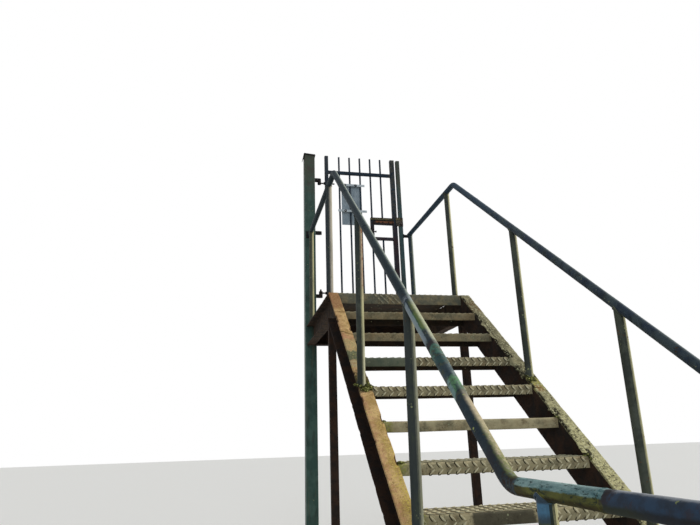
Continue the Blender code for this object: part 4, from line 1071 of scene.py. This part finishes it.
# The lip's lugs may be worn flatter. Dirt with painted shadow lies on the side away from the key lamp, wear
# on the tops.
def makeLugs(name, number, lipRows, bare, flatRows, lipRise=1.0):
    rings = np.array([np.repeat([ring[k] for ring in lugRings], lugLook["sides"]) for k in (2, 3)])
    shells, dirtAndShadow, raised = [], [], []
    for rows, gaps, rise, onLip in ((lipRows, bare, lipRise, True), (flatRows, (), 1.0, False)):
        shell, shadowSide = lugRows(number, rows, gaps, rise, onLip)
        ringDirtAndShadow, ringWear = np.tile(rings, len(shadowSide) // rings.shape[1])
        shells.append(shell)
        dirtAndShadow.append(ringDirtAndShadow * shadowSide * rise)
        raised.append(ringWear * rise)
    putPiece(name, shells, finishes["tread"], "structure",
             marks={"dirtAndShadow": np.concatenate(dirtAndShadow), "raised": np.concatenate(raised)})


def topRows(count):
    start, step = lugLook["topFrom"], lugLook["topRow"]
    return [(start + row * step, 45 if row % 2 else -45, 0.0) for row in range(count)]


for number in range(1, steel["riseCount"]):
    makePlate(f"tread_plate_{number:02d}", treadOutline(), number, treadShape["depth"], 121,
              f"tread_{number:02d}")
for number, bare in bareLips.items():
    makeLugs(f"tread_lugs_{number:02d}", number, lugLook["lip"], bare, topRows(lugLook["treadRows"]))
makePlate("landing_deck_plate", deckOutline(), 0, steel["landingLength"], 91, "landing_deck")
makeLugs("landing_deck_lugs", 0, lugLook["deckLip"], deckLipLook["bare"], topRows(lugLook["deckRows"]),
         deckLipLook["rise"])
print("treads and deck made")


# Welds

weldLook = {"rail": 0.0036, "foot": 0.0042, "leaf": 0.0020, "seam": 0.0013, "count": 64, "off": 0.001,
            "sunk": 0.0006, "outset": 1.03, "swell": 0.22, "swellSize": 1.6, "lump": 0.18, "lumpSize": 6}
# Along the flight, and how far the foot stands off to the side
postPlaces = {
    "left": [(1.1, 0), (0.09936, -0.003), (-0.84456, -0.012), (-1.66968, -0.014), (-2.5488, 0),
             (-3.39984, 0)],
    "right": [(1.16, 0), (0.17928, 0), (-0.79272, 0), (-1.62, -0.012), (-2.49912, 0), (-3.35016, 0)],
}


# Bead along a closed line, swollen and pinched by noise like laid metal.
# point = line + swell * (away * cos + third * sin), with away square to the line and third square to both
def weldBead(line, radius, seed, sides=8):
    tangent = unit(np.roll(line, -1, 0) - np.roll(line, 1, 0))
    away = unit(line - line.mean(0))
    away = unit(away - tangent * np.sum(away * tangent, -1, keepdims=True))
    third = np.cross(tangent, away)
    turn = turns(sides)
    swell = 1 + weldLook["swell"] * cloudAt(line, radius * weldLook["swellSize"], seed)
    swell = swell + weldLook["lump"] * cloudAt(line, radius * weldLook["lumpSize"], seed + 1)
    ring = away[:, None] * np.cos(turn)[:, None] + third[:, None] * np.sin(turn)[:, None]
    return shellOf(line[:, None] + ring * (radius * swell)[:, None, None], closedRows=True)


def railLevel(look, y):
    corners = railCorners(look)[::-1]
    return np.interp(y, [c[1] for c in corners], [c[2] for c in corners])


def seatLevel(y):
    slope = landingHeight + y * math.tan(pitch)
    return np.where(y >= 0, landingHeight, np.maximum(slope, 0.0))


# Where post and rail meet: round the post, at the height of the rail's underside there
def headLine(look, y):
    turn = turns(weldLook["count"])
    radius, outset = steel["railRadius"], weldLook["outset"]
    dx, dy = radius * np.cos(turn), radius * np.sin(turn)
    slope = math.tan(pitch) if railBendY < y < look["peakY"] else 0.0
    under = np.sqrt(np.maximum((radius + weldLook["sunk"]) ** 2 - dx ** 2, 0))
    z = railLevel(look, y) + dy * slope - under * math.sqrt(1 + slope ** 2)
    return pointsAt(look["side"] * steel["railX"] + dx * outset, y + dy * outset, z)


def footLine(look, y, shift):
    turn = turns(weldLook["count"])
    radius = steel["railRadius"] + weldLook["off"]
    x = look["side"] * steel["railX"] + shift + radius * np.cos(turn)
    y = y + radius * np.sin(turn)
    return pointsAt(x, y, seatLevel(y) + weldLook["off"])


def makeRailWelds(side, look):
    shells = []
    for number, (y, shift) in enumerate(postPlaces[side]):
        shells.append(weldBead(headLine(look, y), weldLook["rail"], number + 3))
        if y > -steel["riseCount"] * steel["going"]:  # the last two stand on the floor
            shells.append(weldBead(footLine(look, y, shift), weldLook["foot"], number + 13))
    putPiece(f"{side}_rail_welds", shells, finishes["railPost"], "structure")


for side, look in handrailLook.items():
    makeRailWelds(side, look)


# Bead round a tube: a circle about its axis
def tubeBead(centre, axis, radius, bead, seed, count=40):
    return weldBead(np.array(centre) + axisRing(axis, count)[1] * radius, bead, seed)


# Butt welds round the handrails, by their places along y
seamPlaces = {"left": (-0.52, -1.02, -1.60, -2.76), "right": (-0.34, -1.22, -2.05, -2.76)}


def makeRailSeams(side, look):
    shells = []
    for number, y in enumerate(seamPlaces[side]):
        slope = 0.0 if y < railBendY else pitch
        centre = (look["side"] * steel["railX"], y, float(railLevel(look, y)))
        shells.append(tubeBead(centre, (0, math.cos(slope), math.sin(slope)), steel["railRadius"] - 0.0004,
                               weldLook["seam"], 40 + number))
    putPiece(f"{side}_rail_seams", shells, finishes[f"{side}Rail"], "structure")


for side, look in handrailLook.items():
    makeRailSeams(side, look)
print("welds made")


# Crusts of dirt and lichen, and flakes of rust

# Height of the stringers' flanges along y
def flangeTop(y):
    return landingHeight + y * math.tan(pitch)


# Clusters: side, place along y, distance out from the channel's back, spread across and along, lumps, size
crustPlaces = [(-1, -0.862, 0.032, 0.042, 0.034, 60, 0.0100), (1, -0.815, 0.030, 0.026, 0.028, 34, 0.0080),
               (-1, -1.290, -0.012, 0.014, 0.030, 26, 0.0090), (-1, -1.510, -0.014, 0.016, 0.036, 34, 0.0100),
               (1, -1.290, -0.002, 0.010, 0.020, 12, 0.0055), (1, -1.515, 0.002, 0.010, 0.024, 12, 0.0055),
               (-1, -1.073, -0.003, 0.008, 0.018, 10, 0.0050), (1, -1.075, -0.002, 0.008, 0.018, 10, 0.0050),
               (1, -0.640, -0.002, 0.006, 0.016, 8, 0.0045), (-1, -1.726, -0.003, 0.010, 0.022, 12, 0.0055)]
crustShape = {"spread": 0.5, "smallest": 0.5, "largest": 1.3, "flat": 0.6, "raised": 0.15, "ledge": 0.004}


# Lumps that come to lie inside the channel's back sit on the nearest tread instead of on the flange
def makeCrusts():
    random = np.random.default_rng(5)
    shape, shells = crustShape, []
    for side, y, out, across, along, count, size in crustPlaces:
        offset = random.normal(0, shape["spread"], (count, 2)) * (across, along)
        scale = size * random.uniform(shape["smallest"], shape["largest"], (count, 3))
        front, top = edgeOf(round(-y / steel["going"]))
        for k, (aside, further) in enumerate(offset):
            at, level = y + further, flangeTop(y + further)
            if out + aside < 0:
                at, level = front + abs(further) + shape["ledge"], top
            x = side * (steel["flightWidth"] / 2 + out + aside)
            centre = (x, at, level + scale[k, 2] * shape["raised"])
            shells.append(lumpShell(centre, scale[k] * (1, 1, shape["flat"]), k + int(-y * 100)))
    putPiece("flight_crusts", shells, finishes["crust"], "structure")


# Flakes on the right flange's inner edge: place along y, length, width, lift, hang in degrees
flakePlaces = [(-0.405, 0.170, 0.022, 0.0050, 10), (-0.700, 0.120, 0.028, 0.0015, 34),
               (-0.768, 0.060, 0.024, 0.0005, 58), (-0.555, 0.070, 0.016, 0.0030, 20),
               (-1.040, 0.060, 0.018, 0.0030, 26), (-1.245, 0.080, 0.017, 0.0030, 22)]
flakeLook = {"long": 26, "wide": 9, "ragged": 0.45, "raggedSize": 0.35, "wave": 0.004, "waveSize": 0.4,
             "rough": 0.0012, "roughSize": 0.3, "overlap": 0.006, "thickness": 0.0018}


# Curled sheet: point = edge + across * width * (cos, -sin) of an angle that grows towards its free edge
def makeFlakes():
    shells = []
    flake = flakeLook
    u, v = np.linspace(-1, 1, flake["long"])[:, None], np.linspace(0, 1, flake["wide"])
    for number, (middle, length, width, lift, hang) in enumerate(flakePlaces):
        ragged = 1 + flake["ragged"] * roughAt(pointsAt(u, number * 3.7, 0.0), flake["raggedSize"], 60, 3)
        wide = width * np.sqrt(np.maximum(1 - u ** 4, 0.02)) * ragged * v
        angle = math.radians(hang) * v ** 0.7
        y = middle + u * length / 2 + flake["wave"] * roughAt(pointsAt(u, v, number), flake["waveSize"], 61)
        rough = flake["rough"] * roughAt(pointsAt(u, v * 2, number), flake["roughSize"], 62)
        z = flangeTop(y) + lift * (0.4 + v) - wide * np.sin(angle) + rough
        x = steel["flightWidth"] / 2 + flake["overlap"] - wide * np.cos(angle)
        shells.append(sheetShell(pointsAt(x, y, z), flake["thickness"]))
    putPiece("right_flange_flakes", shells, finishes["rightChannel"], "structure")


makeCrusts()
makeFlakes()
print("crusts and flakes made")


# Gate hardware

gateLook = {"hingePostX": -0.4805, "hingePostY": 1.2503, "leafLeft": -0.330, "leafRight": 0.378,
            "leafY": 1.225, "stile": 0.035, "railHalf": 0.015, "barMiddle": 0.024, "barPitch": 0.104988,
            "barRadius": 0.009, "topRail": 1.531, "bottomRail": 0.110, "lockTop": 1.070, "lockBottom": 0.845,
            "hingeX": -0.385, "pinHole": 0.0085, "eyeWall": 0.009, "eyeHeight": 0.030,
            "eyes": {"top": 1.408, "bottom": 0.305}, "rod": 0.007, "thread": 0.0020, "threadDepth": 0.0008,
            "rodEnd": 0.060, "washer": 0.0145, "washerRim": 0.0005, "washerThick": 0.0020, "nut": 0.0138,
            "nutLength": 0.009, "gap": 0.0003, "barBead": 0.0019, "beadOff": 0.0004}
washerRise = np.array((0, 0.2, 0.8, 1.0))  # its edges are rounded off
capLook = {"half": 0.0545, "lip": 0.046, "flare": 0.008, "skirt": 0.013, "thickness": 0.0032, "tilt": 0.0045,
           "dome": 0.0015, "level": 1.7020, "bent": 0.0012, "bentSize": 0.03, "cornerGap": 0.002,
           "fold": 0.005, "step": 0.0035, "seat": 0.6}


# Loose lid: a folded strip from the bent left lip over the top to the right skirt, and two end skirts.
# height = folded height + dome * (1 - (x/half)^2) * (1 - (y/half)^2) - tilt * x/half
def makeCap(look):
    half, lip = look["half"], look["lip"]
    corners = [(-half - look["flare"], 0, -lip), (-half, 0, 0), (half, 0, 0), (half, 0, -look["skirt"])]
    path = roundedPath(corners, look["fold"], look["step"])
    y = np.linspace(-half, half, 19)

    def seated(grid):
        x = grid[..., 0]
        swell = (1 - np.clip(x / half, -1, 1) ** 2) * (1 - (grid[..., 1] / half) ** 2) * look["dome"]
        bent = look["bent"] * roughAt(grid, look["bentSize"], 71, 2) * (grid[..., 2] < -0.001)
        z = grid[..., 2] + swell - x / half * look["tilt"] + look["tilt"] * look["seat"]
        post = (gateLook["hingePostX"], gateLook["hingePostY"], landingHeight + look["level"])
        return pointsAt(x + bent, grid[..., 1], z) + post

    strip = path[:, None] + pointsAt(0.0, y, 0.0)
    along = np.linspace(look["cornerGap"] - half, half - look["cornerGap"], 15)[:, None]
    down = np.linspace(0, -look["skirt"], 5)
    shells = [sheetShell(seated(grid), look["thickness"])
              for grid in (strip, pointsAt(along, -half, down), pointsAt(along, half, down))]
    putPiece("hinge_post_lid", shells, finishes["iron"], "structure", ["hinge_post_cap"])


# Eye: a rounded section carried round the pin. point = pin + out * (cos, sin), up
def eyeShell(x, y, z, hole, wall, height):
    corners = [(hole, -height / 2), (hole + wall, -height / 2), (hole + wall, height / 2), (hole, height / 2)]
    outline = roundedOutline(corners, [0.001, 0.003, 0.003, 0.001], 0.004, 3)
    turn = turns(32)[:, None]
    grid = pointsAt(x + outline[:, 0] * np.cos(turn), y + outline[:, 0] * np.sin(turn), z + outline[:, 1])
    return shellOf(grid, closedRows=True)


# Eye bolts: eye, threaded rod through the stile, and a nut on a washer at each side of it
def makeEyeBolt(side, level, look):
    y, z = look["leafY"], landingHeight + level
    shells = [eyeShell(look["hingeX"], y, z, look["pinHole"], look["eyeWall"], look["eyeHeight"])]
    rodStart = look["hingeX"] + look["pinHole"] + look["eyeWall"] / 2
    rodEnd = look["leafLeft"] + look["stile"] + look["rodEnd"]
    shells.append(threadShell((rodStart, y, z), (1, 0, 0), rodEnd - rodStart, look["rod"], look["thread"],
                              look["threadDepth"]))
    washer = look["washer"] + look["washerRim"] * np.array((0, 1, 1, 0))
    left, right = look["leafLeft"] - look["gap"], look["leafLeft"] + look["stile"] + look["gap"]
    for face, way in ((left, -1), (right, 1)):
        shells.append(spunShell((face, y, z), (way, 0, 0), washerRise * look["washerThick"], washer, 32))
        nutFace = (face + way * look["washerThick"], y, z)
        shells.append(hexShell(nutFace, (way, 0, 0), look["nut"], look["nutLength"]))
    putPiece(f"{side}_eye_bolt", shells, finishes["iron"], "leaf", [f"{side}_hinge_eye"], 30)


# Weld beads of the leaf: round each bar at the cross rails and the lock frame, and round the rails' ends
def makeLeafWelds(look):
    y = look["leafY"]
    bars = [look["barMiddle"] + look["barPitch"] * (i - 2) for i in range(5)]
    shells = []
    rail = look["railHalf"]
    seats = [look["topRail"] + rail, look["topRail"] - rail, look["bottomRail"] + rail]
    for number, x in enumerate(bars):
        levels = seats + ([look["lockTop"], look["lockBottom"]] if number > 2 else [])
        for k, level in enumerate(levels):
            shells.append(tubeBead((x, y, landingHeight + level), (0, 0, 1),
                                   look["barRadius"] + look["beadOff"], look["barBead"],
                                   80 + number * 7 + k, 24))
    half = look["railHalf"] - 0.0003
    square = roundedOutline([(-half, -half), (half, -half), (half, half), (-half, half)], [0.0045] * 4, 0.003)
    for level in (look["topRail"], look["bottomRail"]):
        for x in (look["leafLeft"] + look["stile"] + 0.0005, look["leafRight"] - look["stile"] - 0.0005):
            line = pointsAt(x, y + square[:, 0], landingHeight + level + square[:, 1])
            shells.append(weldBead(line, weldLook["leaf"], int(x * 100) + 130))
    putPiece("leaf_welds", shells, finishes["leaf"], "leaf")


# Bolt heads: place in x and height, face in y, corner radius and length; all stand out towards the steps
boltPlaces = {
    "plate_bolts": ("leaf", 0.0095, 0.0060, 1.2107,
                    [(-0.1335, 1.400), (-0.0285, 1.400), (-0.1335, 1.128), (-0.0285, 1.128)]),
    "lock_screws": ("leaf", 0.0050, 0.0022, 1.206,
                    [(0.192, 1.0205), (0.232, 1.0205), (0.290, 1.0205), (0.330, 1.0205)]),
    "keeper_bolts": ("structure", 0.0070, 0.0050, 1.194, [(0.415, 1.062), (0.415, 0.998)]),
}
boltWasher = {"along": (0, 0.0003, 0.0010, 0.0012), "radius": np.array((1.25, 1.3, 1.3, 1.25))}


def makeBolts():
    for name, (body, corner, length, face, places) in boltPlaces.items():
        shells = []
        for x, level in places:
            z = landingHeight + level
            shells.append(spunShell((x, face, z), (0, -1, 0), boltWasher["along"],
                                    boltWasher["radius"] * corner))
            shells.append(hexShell((x, face - boltWasher["along"][-1], z), (0, -1, 0), corner, length))
        putPiece(name, shells, finishes["iron"], body, sharp=30)


# Lock stile: square tube with rounded edges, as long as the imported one, its ends drawn in a little
stileLook = {"left": 0.3345, "right": 0.3790, "half": 0.0172, "edge": 0.004, "spacing": 0.006,
             "tip": 0.0015, "drawnIn": 0.94, "uneven": 0.0004, "unevenSize": 0.05}
# Stub between the right handrail's end and the latch post: a short round bar, flattened at the post
stubLook = {"from": 0.4333, "to": 0.492, "y": 1.2105, "radius": 0.0165, "drop": 0.006, "waist": 0.12,
            "flattened": 0.4, "flatFrom": 0.99, "bead": 0.004, "beadIn": 0.002}


def makeLockStile(look):
    left, right, half = look["left"], look["right"], look["half"]
    foot, head = (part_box("lock_stile")[k][2] for k in (0, 1))
    corners = [(left, -half), (right, -half), (right, half), (left, half)]
    outline = roundedOutline(corners, [look["edge"]] * 4, look["spacing"])
    middles = np.linspace(foot + 0.03, head - 0.03, 60)
    z = np.concatenate([[foot, foot + look["tip"]], middles, [head - look["tip"], head]])
    shrink = np.where((z == foot) | (z == head), look["drawnIn"], 1.0)[:, None]
    middle = (left + right) / 2
    x = middle + (outline[:, 0] - middle) * shrink
    grid = pointsAt(x, gateLook["leafY"] + outline[:, 1] * shrink, z[:, None])
    grid[..., :2] += look["uneven"] * roughAt(grid, look["unevenSize"], 91, 2)[..., None]
    putPiece("lock_stile_tube", [shellOf(grid)], finishes["leaf"], "leaf", ["lock_stile"])


def makeStub(look):
    length = look["to"] - look["from"]
    along = np.linspace(0, length, 12)
    flat = look["flattened"] * (along > length * look["flatFrom"])
    radii = look["radius"] * (1 - look["waist"] * np.sin(np.pi * along / length) - flat)
    level = landingHeight + handrailLook["right"]["height"] - look["drop"]
    start = (look["from"], look["y"], level)
    seam = (look["from"] + look["beadIn"], look["y"], level)
    shells = [spunShell(start, (1, 0, 0), along, radii, 24),
              tubeBead(seam, (1, 0, 0), look["radius"], look["bead"], 171)]
    putPiece("rail_end_stub", shells, finishes["iron"], "structure", ["rail_stub"])


makeLockStile(stileLook)
makeStub(stubLook)
makeCap(capLook)
for side, level in gateLook["eyes"].items():
    makeEyeBolt(side, level, gateLook)
makeLeafWelds(gateLook)
makeBolts()
print("gate hardware made")


# Floor, light and camera

stageLook = {"floorSize": 60.0, "floor": (0.80, 0.80, 0.79, 1.0), "sky": (1.0, 1.0, 1.0, 1.0),
             "fill": (0.84, 0.92, 1.0, 1.0), "fillStrength": 0.24}


def makeFloor(look):
    half = look["floorSize"] / 2
    corners = [(-half, -half, 0), (half, -half, 0), (half, half, 0), (-half, half, 0)]
    mesh = bpy.data.meshes.new("paleFloor")
    mesh.from_pydata(corners, [], [(0, 1, 2, 3)])
    floor = bpy.data.objects.new("paleFloor", mesh)
    bpy.context.scene.collection.objects.link(floor)
    f = Finish("paleFloor", 0.1)
    f.layer = (look["floor"], 0.9, 0.0)
    mesh.materials.append(f.done(depth=0))


# White for the camera and in gloss, a soft fill for everything else
def makeSky(look):
    world = bpy.data.worlds.new("studioSky")
    bpy.context.scene.world = world
    world.use_nodes = True
    tree = world.node_tree
    tree.nodes.clear()
    path = tree.nodes.new("ShaderNodeLightPath")
    seen = path.outputs["Is Camera Ray"]
    for ray in ("Is Glossy Ray", "Is Transmission Ray"):
        either = tree.nodes.new("ShaderNodeMath")
        either.operation = "MAXIMUM"
        tree.links.new(seen, either.inputs[0])
        tree.links.new(path.outputs[ray], either.inputs[1])
        seen = either.outputs[0]
    blend = tree.nodes.new("ShaderNodeMixShader")
    tree.links.new(seen, blend.inputs[0])
    for entry, colour, strength in ((1, look["fill"], look["fillStrength"]), (2, look["sky"], 1.0)):
        background = tree.nodes.new("ShaderNodeBackground")
        background.inputs["Color"].default_value = colour
        background.inputs["Strength"].default_value = strength
        tree.links.new(background.outputs[0], blend.inputs[entry])
    output = tree.nodes.new("ShaderNodeOutputWorld")
    tree.links.new(blend.outputs[0], output.inputs[0])


lampLook = {
    "key": {"from": (0.87, -0.07, 0.49), "strength": 3.4, "spread": 8.0, "colour": (1.0, 0.955, 0.88)},
    "front": {"from": (-0.30, -0.85, 0.45), "strength": 0.85, "spread": 50.0, "colour": (0.88, 0.94, 1.0)},
}


# Far, even light from one direction, softened by its spread in degrees
def makeLamp(name, look):
    light = bpy.data.lights.new(name, "SUN")
    light.angle = math.radians(look["spread"])
    light.energy = look["strength"]
    light.color = look["colour"]
    lamp = bpy.data.objects.new(name, light)
    bpy.context.scene.collection.objects.link(lamp)
    lamp.rotation_euler = (-Vector(look["from"])).to_track_quat("-Z", "Y").to_euler()


cameraLook = {"place": (-1.14105, -2.67883, 1.0134), "yaw": 11.8946, "pitch": 17.1203, "roll": -1.7223,
              "focalPixels": 563.06, "frameWidth": 700, "sensor": 36.0}


# Looks along yaw and pitch, then turns about its own line of sight by roll
def makeCamera(look):
    yaw, pitch, roll = (math.radians(look[key]) for key in ("yaw", "pitch", "roll"))
    forward = Vector((math.sin(yaw) * math.cos(pitch), math.cos(yaw) * math.cos(pitch), math.sin(pitch)))
    right = Vector((math.cos(yaw), -math.sin(yaw), 0))
    up = right.cross(forward)
    turnedRight = right * math.cos(roll) + up * math.sin(roll)
    turnedUp = up * math.cos(roll) - right * math.sin(roll)
    data = bpy.data.cameras.new("photoView")
    data.sensor_width = look["sensor"]
    data.lens = look["focalPixels"] / look["frameWidth"] * look["sensor"]
    camera = bpy.data.objects.new("photoView", data)
    bpy.context.scene.collection.objects.link(camera)
    columns = Matrix((turnedRight, turnedUp, -forward)).transposed().to_4x4()
    camera.matrix_world = Matrix.Translation(look["place"]) @ columns
    bpy.context.scene.camera = camera


makeFloor(stageLook)
makeSky(stageLook)
for lampName, look in lampLook.items():
    makeLamp(lampName, look)
makeCamera(cameraLook)
bpy.context.scene.view_settings.view_transform = "Standard"
print("floor, light and camera ready")
